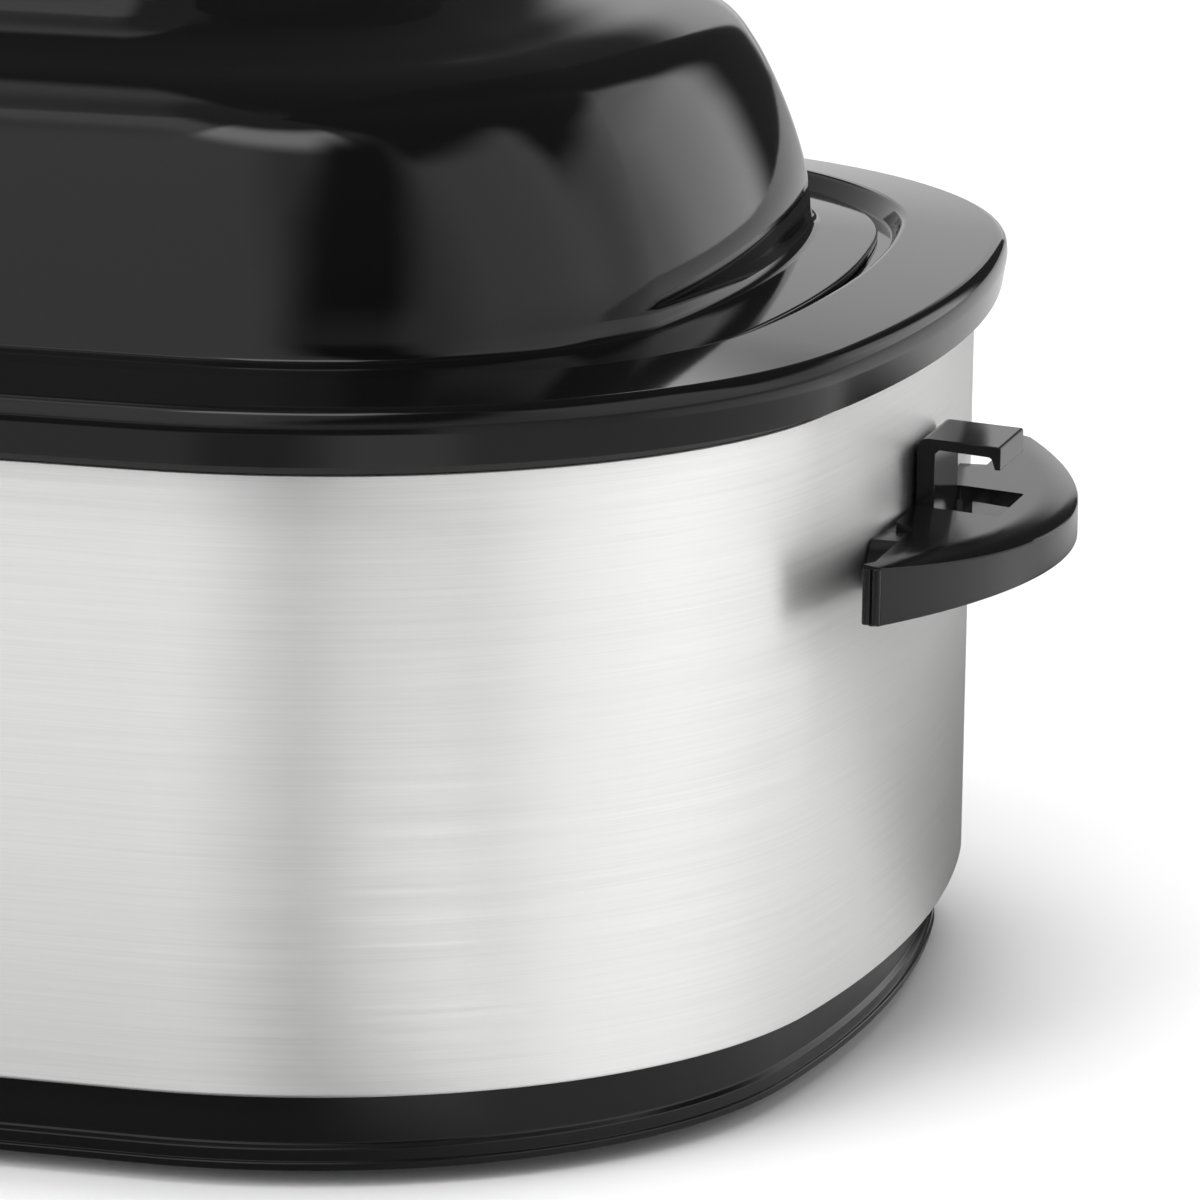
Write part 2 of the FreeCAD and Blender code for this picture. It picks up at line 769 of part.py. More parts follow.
def make_thermostat():
    """Thermostat case with the neck that the dial's shaft runs in and the sensor that feels the well."""
    body = new_body("thermostat")
    face_inset = D["wrap_thickness"] + BRACKET_THICKNESS
    case = new_sketch(body, "Case", "XZ_Plane", HALF_WIDTH - face_inset - THERMOSTAT_DEPTH)
    half_width = THERMOSTAT_WIDTH / 2
    half_height = THERMOSTAT_HEIGHT / 2
    draw_polygon(case, [
        (-half_width, D["dial_level"] - half_height, 3.0),
        (half_width, D["dial_level"] - half_height, 3.0),
        (half_width, D["dial_level"] + half_height, 3.0),
        (-half_width, D["dial_level"] + half_height, 3.0),
    ])
    pad(body, case, THERMOSTAT_DEPTH)
    neck = new_sketch(body, "Neck", "XZ_Plane", HALF_WIDTH - face_inset)
    draw_circle(neck, 0.0, D["dial_level"], SHAFT_NECK_RADIUS)
    pad(body, neck, face_inset + NECK_LENGTH)
    sensor_start = HALF_WIDTH - D["well_inset"] + CLEAR
    sensor = new_sketch(body, "Sensor", "XZ_Plane", sensor_start)
    draw_circle(sensor, 0.0, D["dial_level"], 6.0)
    pad(body, sensor, HALF_WIDTH - face_inset - THERMOSTAT_DEPTH - sensor_start)
    bore = new_sketch(body, "Bore", "XZ_Plane", HALF_WIDTH + NECK_LENGTH)
    draw_circle(bore, 0.0, D["dial_level"], D["shaft_radius"] + 0.05)
    pocket(body, bore, NECK_LENGTH + SHAFT_DEPTH)
    return body


def make_thermostat_nut():
    """Hexagon nut that clamps the neck to the panel, hidden under the dial."""
    body = new_body("thermostat_nut")
    flats = 14.0
    point = flats / math.sqrt(3.0)
    plan = new_sketch(body, "Plan", "XZ_Plane", HALF_WIDTH + BEZEL_RECESS)
    corners = []
    for step in range(6):
        angle = math.radians(60.0 * step)
        corners.append((point * math.cos(angle), D["dial_level"] + point * math.sin(angle)))
    draw_polygon(plan, corners)
    draw_circle(plan, 0.0, D["dial_level"], SHAFT_NECK_RADIUS + 0.05)
    pad(body, plan, 3.0)
    return body


def make_dial_shaft():
    shaft_end = SHAFT_DEPTH - 0.3
    foot = (0.0, FRONT + shaft_end, D["dial_level"])
    rod = cylinder("dial_shaft", D["shaft_radius"], shaft_end + KNOB_BORE_TOP, foot, Vector(0, -1, 0))
    rod.Label = "dial_shaft"
    return rod


def make_temperature_knob():
    """Dial with a thin skirt for the numbers, a raised centre and a finger bar across it."""
    skirt = D["dial_radius"]
    body = turned("temperature_knob", [
        (0.0, proud(KNOB_BACK)),
        (skirt, proud(KNOB_BACK)),
        (skirt, proud(3.6), 0.7),
        (skirt - 5.5, proud(5.0), 1.5),
        (skirt - 7.0, proud(9.5), 2.0),
        (0.0, proud(10.5)),
    ], D["dial_level"])
    bar_start = KNOB_BACK + 1.0
    bar = new_sketch(body, "Bar", "XZ_Plane", HALF_WIDTH + bar_start)
    half_bar = 5.0
    bar_reach = skirt - 3.0
    draw_polygon(bar, [
        (-half_bar, D["dial_level"] - bar_reach, half_bar * 0.95),
        (half_bar, D["dial_level"] - bar_reach, half_bar * 0.95),
        (half_bar, D["dial_level"] + bar_reach, half_bar * 0.95),
        (-half_bar, D["dial_level"] + bar_reach, half_bar * 0.95),
    ])
    pad(body, bar, D["knob_proud"] - bar_start)
    hollow = new_sketch(body, "Hollow", "XZ_Plane", HALF_WIDTH + KNOB_BACK)
    draw_circle(hollow, 0.0, D["dial_level"], KNOB_HOLLOW_RADIUS)
    pocket(body, hollow, KNOB_HOLLOW_TOP - KNOB_BACK, towards=True)
    bore = new_sketch(body, "Bore", "XZ_Plane", HALF_WIDTH + KNOB_BORE_TOP)
    draw_circle(bore, 0.0, D["dial_level"], D["shaft_radius"])
    pocket(body, bore, KNOB_BORE_TOP - KNOB_HOLLOW_TOP + 0.5)
    return body


def make_lamp_lens():
    """Domed lens of the heating lamp, its neck through the wrap."""
    body = turned("lamp_lens", [
        (0.0, proud(-6.0)),
        (LENS_RADIUS - 1.4, proud(-6.0)),
        (LENS_RADIUS - 1.4, proud(0.0)),
        (LENS_RADIUS, proud(0.0)),
        (LENS_RADIUS, proud(4.2), 1.6),
        (0.0, proud(5.2)),
    ], D["dial_level"])
    put(body, (D["lamp_offset"], 0.0, 0.0))
    return body


def make_indicator_lamp():
    """Neon lamp behind the lens."""
    body = turned("indicator_lamp", [
        (0.0, proud(-20.0)),
        (3.0, proud(-20.0), 1.4),
        (3.0, proud(-6.0)),
        (0.0, proud(-6.0)),
    ], D["dial_level"])
    put(body, (D["lamp_offset"], 0.0, 0.0))
    return body


def make_control_leads():
    """Two stiff leads from the thermostat's sides to the studs of the heating band."""
    leads = []
    start = THERMOSTAT_WIDTH / 2
    length = TERMINAL_OFFSET - 2.2 - start
    depth = FRONT + D["well_inset"] - CLEAR - HEATER_THICKNESS - 7.0
    for number, side in enumerate((-1, 1)):
        foot = (sized(side * start), depth, TERMINAL_LEVEL)
        leads.append(cylinder(f"lead_{number}", 1.2, length, foot, Vector(side, 0, 0)))
    return group("control_leads", leads)


# ---------------------------------------------------------------- the mains side, at the back
def make_cord_gland():
    """Bush that snaps into the hole at the back where the mains cord enters; its bore is open."""
    back = HALF_WIDTH
    return turned("cord_gland", [
        (GLAND_BORE, back + 2.5, 0.8),
        (9.0, back + 2.5, 1.0),
        (9.0, back),
        (GLAND_BARREL - 0.2, back),
        (GLAND_BARREL - 0.2, back - D["wrap_thickness"]),
        (8.0, back - D["wrap_thickness"] - 0.2),
        (GLAND_BARREL - 0.2, back - 6.0),
        (GLAND_BORE, back - 6.0),
    ], GLAND_LEVEL)


def make_terminal_block():
    """Screw terminals on the base plate, where the mains lead ends."""
    length, width, height = 32.0, 14.0, 12.0
    middle = HALF_WIDTH - 35.0
    block = box("terminal_case", length, width, height, (-length / 2, middle - width / 2, PLATE_TOP))
    pits = []
    for number, across in enumerate((-10.0, 0.0, 10.0)):
        pits.append(cylinder(f"terminal_pit_{number}", 2.4, 6.0, (across, middle, PLATE_TOP + height - 5.0)))
    part = cut("terminal_block", block, fuse("terminal_pits", *pits))
    part.Label = "terminal_block"
    return part


def make_thermal_fuse():
    """Thermal cut-out against the back wall of the well."""
    depth = HALF_WIDTH - D["well_inset"] + 3.2
    part = cylinder("thermal_fuse", 3.0, 22.0, (-11.0, depth, 38.0), Vector(1, 0, 0))
    part.Label = "thermal_fuse"
    return part


# ---------------------------------------------------------------- the roasting pan
def make_roasting_pan():
    """Enamelled pan, one pressing: a skirted rim, a recess for the lid, tapered walls, a flat floor."""
    body = new_body("roasting_pan")
    wall = D["pan_wall"]
    reach = D["rim_reach"]
    lip = reach - 1.4
    edge = reach - 0.8
    crest = -D["recess_inset"]
    trough = crest - 2.5
    top_of_wall = -D["pan_inset"]
    foot_of_wall = top_of_wall - D["pan_taper"]
    floor_edge = foot_of_wall - 36.0
    widest = RIM_LIP + 8.5
    rim_edge = RIM_TOP - 2.7
    floor = D["pan_floor_level"]
    section = front_section(body, "Section", [
        (lip, RIM_LIP),
        (reach, widest),
        (edge, rim_edge, D["rim_edge_radius"]),
        (crest, RIM_TOP, 2.2),
        (trough, RECESS_FLOOR, 1.0),
        (top_of_wall, RECESS_FLOOR, 2.2),
        (foot_of_wall, floor, D["pan_floor_radius"]),
        (floor_edge, floor),
        (floor_edge, floor - wall),
        (foot_of_wall + wall, floor - wall, D["pan_floor_radius"] + wall),
        (top_of_wall + wall, PAN_SEAT, 0.9),
        (trough + wall, PAN_SEAT, 2.3),
        (crest + wall, RIM_TOP - wall, 0.9),
        (edge - wall, rim_edge - wall, D["rim_edge_radius"] - wall),
        (reach - wall, widest),
        (lip - wall, RIM_LIP),
    ])
    sweep_around(body, section)
    bottom = new_sketch(body, "Floor", level=floor - wall)
    draw_oval(bottom, floor_edge)
    pad(body, bottom, wall)
    return body


# ---------------------------------------------------------------- the side handles
HANDLE_INNER_GAP = 6.3
HANDLE_TOP_SKIN = 3.2
HANDLE_PLATE_SLOPE = 0.07
HANDLE_EDGE_SLOPE = 0.143
HANDLE_SHOULDER_SLOPE = 0.26
HANDLE_CROWN_DEPTH = 45.0
HANDLE_CROWN_RISE = 20.0
HANDLE_SKIRT_RISE = 1.2
HANDLE_BOSS_RADIUS = 8.5
HANDLE_BOSS_SINK = 4.0
HANDLE_BOSS_LENGTH = 21.0
HANDLE_BOSS_SKIN = 1.0
HANDLE_BORE_SINK = 1.0
HANDLE_BORE_LENGTH = 14.0
HANDLE_STAND_OFF = 0.1
HANDLE_TIP = 4.6
HANDLE_BEAD_RADIUS = 1.15
HANDLE_TONGUE = 72.0
HANDLE_TONGUE_FLARE = 6.0
HANDLE_MARGIN = 12.0
SLOT_WIDTH = 30.0
SLOT_OUTER = 22.3
POST_THICKNESS = 4.6
POST_GAP = 0.6
POST_ROOT = 8.5
BACKING_THICKNESS = 1.5
BACKING_GAP = 0.15
LEFT_AND_RIGHT = (("right", 1), ("left", -1))


def handle_arc(inset):
    """Centre and radius of the handle's bowed edge, moved in by an inset."""
    half_span = D["handle_width"] / 2
    bow = D["handle_reach"] - D["handle_tip_reach"]
    radius = (half_span * half_span + bow * bow) / (bow * 2)
    return HALF_LENGTH + D["handle_reach"] - radius, radius - inset


def handle_outline(name, low, high):
    """Prism over the handle's plan: a bowed outer edge, two blunt tips and a straight edge by the body."""
    body = new_body(name)
    sketch = new_sketch(body, "Plan", level=low)
    centre, radius = handle_arc(0.0)
    half_span = D["handle_width"] / 2
    tip = HALF_LENGTH + D["handle_tip_reach"]
    inner = HALF_LENGTH + HANDLE_INNER_GAP
    turn = math.asin(half_span.value / radius.value)
    corners = [
        (tip, half_span),
        (tip - HANDLE_TIP, half_span),
        (inner, half_span - HANDLE_TIP),
        (inner, HANDLE_TIP - half_span),
        (tip - HANDLE_TIP, -half_span),
        (tip, -half_span),
    ]
    points = [Vector(across.value, up.value, 0) for across, up in corners]
    sketch.addGeometry(arc_edge(centre.value, 0.0, radius.value, -turn, turn))
    sketch.addGeometry([Part.LineSegment(points[i], points[i + 1]) for i in range(5)])
    for step in range(6):
        sketch.addConstraint(Sketcher.Constraint("Coincident", step, 2, (step + 1) % 6, 1))
    hold_point(sketch, 0, 3, centre, 0.0)
    hold(sketch, "Radius", 0, radius)
    hold(sketch, "DistanceY", 0, 2, half_span)
    hold(sketch, "DistanceY", 0, 1, -half_span)
    for step in range(1, 5):
        hold_point(sketch, step, 2, *corners[step])
    pad(body, sketch, high - low)
    return body


def handle_tongue(name):
    """Middle of the top plate, carried in to the body to stand the post on."""
    body = new_body(name)
    sketch = new_sketch(body, "Plan", level=D["handle_level"] - HANDLE_TOP_SKIN)
    near = HALF_LENGTH + POST_GAP
    far = HALF_LENGTH + HANDLE_INNER_GAP + D["handle_wall"]
    half_near = HANDLE_TONGUE / 2
    half_far = half_near + HANDLE_TONGUE_FLARE
    draw_polygon(sketch, [(near, -half_near), (far, -half_far), (far, half_far), (near, half_near)])
    pad(body, sketch, HANDLE_TOP_SKIN)
    return body


def handle_beads(side, low):
    """Two round beads down each blunt tip."""
    beads = []
    for end in (-1, 1):
        for number, place in enumerate((1, 3)):
            foot = (
                HALF_LENGTH + D["handle_tip_reach"] - place * HANDLE_BEAD_RADIUS,
                D["handle_width"] * end / 2,
                low,
            )
            name = f"bead_{side}_{end + 1}_{number}"
            beads.append(cylinder(name, HANDLE_BEAD_RADIUS, D["handle_skirt"], foot))
    return beads


def handle_hollow(name, low, high):
    """Prism of the space under the handle: the same bow and straight edge, a wall further in."""
    body = new_body(name)
    sketch = new_sketch(body, "Plan", level=low)
    centre, radius = handle_arc(D["handle_wall"])
    inner = HALF_LENGTH + HANDLE_INNER_GAP + D["handle_wall"]
    half_span = (radius * radius - (inner - centre) * (inner - centre)).root()
    turn = math.atan2(half_span.value, (inner - centre).value)
    sketch.addGeometry(arc_edge(centre.value, 0.0, radius.value, -turn, turn))
    ends = (Vector(inner.value, half_span.value, 0), Vector(inner.value, -half_span.value, 0))
    sketch.addGeometry(Part.LineSegment(*ends))
    sketch.addConstraint(Sketcher.Constraint("Coincident", 0, 2, 1, 1))
    sketch.addConstraint(Sketcher.Constraint("Coincident", 1, 2, 0, 1))
    hold_point(sketch, 0, 3, centre, 0.0)
    hold(sketch, "Radius", 0, radius)
    hold(sketch, "DistanceX", 1, 1, inner)
    hold(sketch, "DistanceX", 1, 2, inner)
    pad(body, sketch, high - low)
    return body


def handle_side(name, skin):
    """Prism across the handle under its sloping plate, less a skin."""
    body = new_body(name)
    sketch = new_sketch(body, "Side", "XZ_Plane")
    top = D["handle_level"] - skin
    low = D["handle_level"] - D["handle_skirt"] - HANDLE_MARGIN
    reach = D["handle_reach"] + HANDLE_MARGIN
    draw_polygon(sketch, [
        (HALF_LENGTH - HANDLE_MARGIN, low),
        (HALF_LENGTH + reach, low),
        (HALF_LENGTH + reach, top - reach * HANDLE_PLATE_SLOPE),
        (HALF_LENGTH - HANDLE_MARGIN, top + HANDLE_MARGIN * HANDLE_PLATE_SLOPE),
    ])
    pad(body, sketch, D["handle_width"] + 2 * HANDLE_MARGIN, both_ways=True)
    return body


def handle_crown(name, skin):
    """All under the plate and under its shoulder, a leaning cone that ends at the bowed outer edge."""
    centre, radius = handle_arc(0.0)
    lean = Vector(HANDLE_EDGE_SLOPE, 0, 1)
    rim = radius * lean.Length
    lean.normalize()
    level = D["handle_level"] - skin - (centre - HALF_LENGTH) * HANDLE_EDGE_SLOPE
    cone = doc.addObject("Part::Cone", f"{name}_shoulder")
    bind(cone, "Radius1", rim + HANDLE_CROWN_DEPTH / HANDLE_SHOULDER_SLOPE)
    bind(cone, "Radius2", rim - HANDLE_CROWN_RISE / HANDLE_SHOULDER_SLOPE)
    bind(cone, "Height", HANDLE_CROWN_DEPTH + HANDLE_CROWN_RISE)
    foot = (centre - HANDLE_CROWN_DEPTH * lean.x, 0.0, level - HANDLE_CROWN_DEPTH * lean.z)
    put(cone, foot, Rotation(Vector(0, 0, 1), lean))
    return common(f"{name}_crown", handle_side(f"{name}_plate", skin), cone)


def handle_hook(side):
    """Lid rest in the middle of the handle: a post, an arm over the slot and a small lip."""
    body = new_body(f"hook_{side}")
    sketch = new_sketch(body, "Hook", "XZ_Plane")
    root = D["handle_level"] - POST_ROOT
    top = D["handle_level"] + D["hook_rise"]
    near = HALF_LENGTH + POST_GAP
    far = HALF_LENGTH + D["hook_reach"]
    draw_polygon(sketch, [
        (near, root),
        (near, top, 2.5),
        (far, top - 1.2, 0.8),
        (far, top - 7.1),
        (far - 1.4, top - 7.1),
        (far - 2.4, top - 4.0, 1.5),
        (near + POST_THICKNESS, top - 2.9, 1.0),
        (near + POST_THICKNESS, root),
    ])
    pad(body, sketch, D["hook_width"], both_ways=True)
    return body


def plan_arc(side_y):
    """Centre and radius of the arc of the plan at a handle screw: the end's, or the corner's beyond it."""
    end_x = HALF_LENGTH - D["end_radius"]
    corner_y = HALF_WIDTH - D["corner_radius"]
    inner = D["end_radius"] - D["corner_radius"]
    end_span = D["end_radius"].value * corner_y.value / inner.value
    if abs(side_y) <= end_span:
        return end_x, 0.0, D["end_radius"]
    corner_x = end_x + (inner * inner - corner_y * corner_y).root()
    return corner_x, math.copysign(1.0, side_y) * corner_y, D["corner_radius"]


def screw_direction(side_y):
    """Direction square to the end of the body at a screw."""
    centre_y, radius = plan_arc(side_y)[1:]
    lean = math.asin((side_y - sized(centre_y).value) / radius.value)
    return Vector(math.cos(lean), math.sin(lean), 0.0)


def on_end(side_y, depth):
    """A point on a handle screw's axis, its depth measured outwards from the steel."""
    centre_x, centre_y, radius = plan_arc(side_y)
    along = screw_direction(side_y)
    reach = radius + depth
    return (centre_x + reach * along.x, centre_y + reach * along.y, handle_screw_level())


def handle_bosses(side):
    """Two round bosses that stand off the steel and take the screws."""
    bosses = []
    bores = []
    for number, centre in enumerate((-HANDLE_SCREW_SPREAD, HANDLE_SCREW_SPREAD)):
        along = screw_direction(centre)
        name = f"{side}_{number}"
        foot = on_end(centre, -HANDLE_BOSS_SINK)
        bosses.append(cylinder(f"boss_{name}", HANDLE_BOSS_RADIUS, HANDLE_BOSS_LENGTH, foot, along))
        mouth = on_end(centre, -HANDLE_BORE_SINK)
        bores.append(cylinder(f"boss_hole_{name}", HANDLE_SCREW_RADIUS, HANDLE_BORE_LENGTH, mouth, along))
    below = D["handle_skirt"] + HANDLE_MARGIN
    body_shape = cylinder(
        f"end_shape_{side}", D["end_radius"] + HANDLE_STAND_OFF, below + HANDLE_MARGIN,
        (HALF_LENGTH - D["end_radius"], 0.0, D["handle_level"] - below),
    )
    trimmed = cut(f"bosses_trim_{side}", fuse(f"bosses_solid_{side}", *bosses), body_shape)
    under_plate = handle_side(f"bosses_side_{side}", HANDLE_BOSS_SKIN)
    return common(f"bosses_under_{side}", trimmed, under_plate), bores


def make_handle(side, turn):
    """Moulded shelf handle with a hollow underside, a slot in its top and the lid hook above it."""
    level = D["handle_level"]
    low = level - D["handle_skirt"]
    plan = fuse(
        f"handle_plan_{side}",
        handle_outline(f"plan_{side}", low, level + HANDLE_MARGIN),
        handle_tongue(f"tongue_{side}"),
        *handle_beads(side, low),
    )
    outer = common(f"handle_outer_{side}", plan, handle_crown(f"outer_{side}", 0.0))
    inner = common(
        f"handle_inner_{side}",
        handle_hollow(f"hollow_plan_{side}", low - HANDLE_MARGIN, level),
        handle_crown(f"inner_{side}", HANDLE_TOP_SKIN),
    )
    rise = sized(HANDLE_SKIRT_RISE)
    half_span = D["handle_width"] / 2
    bow = (half_span * half_span + rise * rise) / (rise * 2)
    under = cylinder(
        f"handle_under_{side}", bow, D["handle_reach"] + 2 * HANDLE_MARGIN,
        (HALF_LENGTH - HANDLE_MARGIN, 0.0, low + rise - bow), Vector(1, 0, 0),
    )
    slot_near = HALF_LENGTH + POST_GAP + POST_THICKNESS
    slot = box(
        f"handle_slot_{side}", SLOT_OUTER - POST_GAP - POST_THICKNESS, SLOT_WIDTH,
        D["handle_skirt"] + HANDLE_MARGIN, (slot_near, -SLOT_WIDTH / 2, low),
    )
    bosses, bores = handle_bosses(side)
    shell = cut(f"handle_shell_{side}", outer, fuse(f"handle_voids_{side}", inner, slot))
    solid = cut(f"handle_trim_{side}", fuse(f"handle_sum_{side}", shell, bosses), under)
    whole = fuse(f"handle_whole_{side}", solid, handle_hook(side))
    drilled = cut(f"handle_{side}_moulding", whole, fuse(f"handle_bores_{side}", *bores))
    drilled.Label = f"handle_moulding_{side}"
    return facing(f"handle_{side}", drilled, turn)


def facing(node, thing, turn):
    """Leaves a piece at the right end, or turns it round to the left end."""
    copy = doc.addObject("Part::Compound", node)
    copy.Links = [thing]
    copy.Label = node
    if turn < 0:
        copy.Placement = Placement(Vector(0, 0, 0), Rotation(Vector(0, 0, 1), 180.0))
    return copy


def make_backing_plates():
    """Steel strips inside the ends of the wrap, under the heads of the handle screws."""
    strips = []
    height = 20.0
    length = 2 * HANDLE_SCREW_SPREAD + 24.0
    low = handle_screw_level() - height / 2
    for side, turn in LEFT_AND_RIGHT:
        ring = new_body(f"backing_ring_{side}")
        plan = new_sketch(ring, "Plan", level=low)
        draw_oval(plan, -D["wrap_thickness"] - BACKING_GAP)
        draw_oval(plan, -D["wrap_thickness"] - BACKING_GAP - BACKING_THICKNESS)
        pad(ring, plan, height)
        corner = (HALF_LENGTH - 50.0, -length / 2, low)
        window = box(f"backing_window_{side}", 60.0, length, height, corner)
        strip = common(f"backing_strip_{side}", ring, window)
        holes = []
        for number, y in enumerate((-HANDLE_SCREW_SPREAD, HANDLE_SCREW_SPREAD)):
            start = on_end(y, -10.0)
            radius = HANDLE_SCREW_RADIUS + SCREW_CLEARANCE
            along = screw_direction(y)
            holes.append(cylinder(f"backing_hole_{side}_{number}", radius, HOLE_REACH, start, along))
        drilled = cut(f"backing_plate_{side}", strip, fuse(f"backing_holes_{side}", *holes))
        strips.append(facing(f"backing_{side}", drilled, turn))
    return group("handle_backing_plates", strips)


def make_handle_screws():
    """Two screws at each end, from inside the wrap into the feet of the handle."""
    screws = []
    seat = -D["wrap_thickness"] - BACKING_GAP - BACKING_THICKNESS - 0.1
    for side, turn in LEFT_AND_RIGHT:
        for number, y in enumerate((-HANDLE_SCREW_SPREAD, HANDLE_SCREW_SPREAD)):
            along = screw_direction(y)
            under = on_end(y, seat - SCREW_HEAD_HEIGHT)
            name = f"{side}_{number}"
            head = cylinder(f"handle_head_{name}", SCREW_HEAD_RADIUS, SCREW_HEAD_HEIGHT, under, along)
            shank = cylinder(f"handle_shank_{name}", HANDLE_SCREW_RADIUS, 12.0, on_end(y, seat), along)
            screw = fuse(f"handle_screw_{name}", head, shank)
            screws.append(facing(f"handle_screw_{side}_{number}_placed", screw, turn))
    return group("handle_screws", screws)


# ---------------------------------------------------------------- the wire rack
RACK_RODS = 11
RACK_ROD_RADIUS = 1.5
RACK_CROSS_RODS = (-120.0, 0.0, 120.0)
RACK_HANDLE_SPAN = 110.0
RACK_WELD = 0.5
RACK_FOOT_ROD = 4
RACK_FOOT_ALONG = 150.0
RACK_BOW_RADIUS = 1.8
RACK_BOW_BEND = 22.0


def half_chord(across, inset):
    """Half the length of the outline, moved in by an inset, at a distance from its middle line."""
    corner_x, corner_y, end_x, corner_r, end_r = (size.value for size in oval_plan(-inset))
    across = abs(across)
    if across <= corner_y:
        return end_x + math.sqrt(end_r**2 - across**2)
    return corner_x + math.sqrt(max(corner_r**2 - (across - corner_y)**2, 0.0))


def rack_rod_level():
    return D["rack_level"] + D["rack_wire"] / 2 + RACK_ROD_RADIUS - RACK_WELD


def rack_rod_spacing():
    return (D["body_width"].value - 2 * D["rack_inset"].value) / (RACK_RODS + 1)


def rack_grid():
    """The rack's rim wire, the lengthwise rods welded on it and the cross wires under them."""
    rim_radius = D["rack_wire"] / 2
    inset = D["rack_inset"].value
    rim = new_body("rack_rim")
    section = new_sketch(rim, "Wire", "YZ_Plane")
    draw_circle(section, -(HALF_WIDTH - D["rack_inset"]), D["rack_level"], rim_radius)
    sweep_around(rim, section)
    wires = [rim]
    rod_level = rack_rod_level()
    for number in range(RACK_RODS):
        across = (number - (RACK_RODS - 1) / 2) * rack_rod_spacing()
        reach = half_chord(across, inset)
        foot = (-reach, across, rod_level)
        wires.append(cylinder(f"rack_rod_{number}", RACK_ROD_RADIUS, 2 * reach, foot, Vector(1, 0, 0)))
    half_width = D["body_width"].value / 2 - inset
    cross_level = rod_level - 2 * RACK_ROD_RADIUS + RACK_WELD / 2
    for number, along in enumerate(RACK_CROSS_RODS):
        foot = (along, -half_width, cross_level)
        across = Vector(0, 1, 0)
        wires.append(cylinder(f"rack_cross_{number}", RACK_ROD_RADIUS, 2 * half_width, foot, across))
    return wires


def rack_bow(side, turn):
    """Lifting bow that stands on the rim wire at one end of the rack."""
    span = RACK_HANDLE_SPAN
    along = half_chord(span / 2, D["rack_inset"].value)
    body = new_body(f"rack_bow_{side}")
    path = new_sketch(body, "Path", "YZ_Plane", along)
    top = D["rack_level"] + D["rack_handle_rise"]
    half = span / 2
    points = [(-half, D["rack_level"]), (-half, top), (half, top), (half, D["rack_level"])]
    vectors = [Vector(y, sized(z).value, 0) for y, z in points]
    path.addGeometry([Part.LineSegment(vectors[i], vectors[i + 1]) for i in range(3)])
    for step in range(2):
        path.addConstraint(Sketcher.Constraint("Coincident", step, 2, step + 1, 1))
    for step in range(3):
        hold_point(path, step, 1, *points[step])
    hold_point(path, 2, 2, *points[3])
    for step in (1, 2):
        arc = path.GeometryCount
        path.fillet(step, 1, RACK_BOW_BEND, True, True)
        hold(path, "Radius", arc, RACK_BOW_BEND)
    ring = new_sketch(body, "Wire", level=D["rack_level"])
    draw_circle(ring, along, -half, RACK_BOW_RADIUS)
    feature = body.newObject("PartDesign::AdditivePipe", "Bend")
    feature.Profile = ring
    feature.Spine = (path, [])
    doc.recompute()
    return facing(f"rack_bow_{side}_placed", body, turn)


def make_rack():
    """Welded rack: the grid, a lifting bow at each end and four feet on the pan's floor."""
    wires = rack_grid()
    for side, turn in LEFT_AND_RIGHT:
        wires.append(rack_bow(side, turn))
    floor = D["pan_floor_level"]
    height = rack_rod_level() - RACK_WELD - floor
    half_stance = RACK_FOOT_ROD * rack_rod_spacing()
    for along in (-RACK_FOOT_ALONG, RACK_FOOT_ALONG):
        for across in (-half_stance, half_stance):
            foot = (along, across, floor)
            wires.append(cylinder(f"rack_foot_{len(wires)}", D["rack_wire"] / 2, height, foot))
    rack = fuse("wire_rack", *wires)
    rack.Label = "wire_rack"
    return rack


# ---------------------------------------------------------------- the lid
LID_SCREW_RADIUS = 2.2
LID_WASHER_THICKNESS = 1.2
DOME_BASE_RISE = 7.6
DOME_BASE_INSET = 43.7
# The dome from its foot to its crown: share of the height, inset at the sides, inset at the ends, and
# the corner and end radii as shares of those at the foot. The wall rolls over a broad shoulder, dips at
# the foot of the crown and rises again to a flat top.
DOME_CORNER_LIMIT = 0.9
DOME_SECTIONS = [
    (0.000, 43.7, 43.7, 1.00, 1.00),
    (0.102, 45.3, 44.9, 0.99, 0.99),
    (0.224, 47.6, 48.4, 0.97, 0.98),
    (0.347, 50.5, 53.4, 0.96, 0.97),
    (0.449, 54.5, 58.6, 0.95, 0.96),
    (0.531, 60.5, 64.6, 0.93, 0.94),
    (0.592, 69.5, 75.0, 0.89, 0.91),
    (0.633, 81.0, 88.5, 0.83, 0.87),
    (0.684, 91.0, 104.0, 0.77, 0.81),
    (0.776, 99.0, 121.0, 0.70, 0.76),
    (0.888, 106.0, 136.0, 0.63, 0.71),
    (0.964, 114.5, 150.0, 0.57, 0.66),
    (1.000, 127.0, 167.0, 0.49, 0.62),
]


def lid_screw_places():
    reach = D["grip_length"] / 2 - 10.0
    return (-reach, reach)


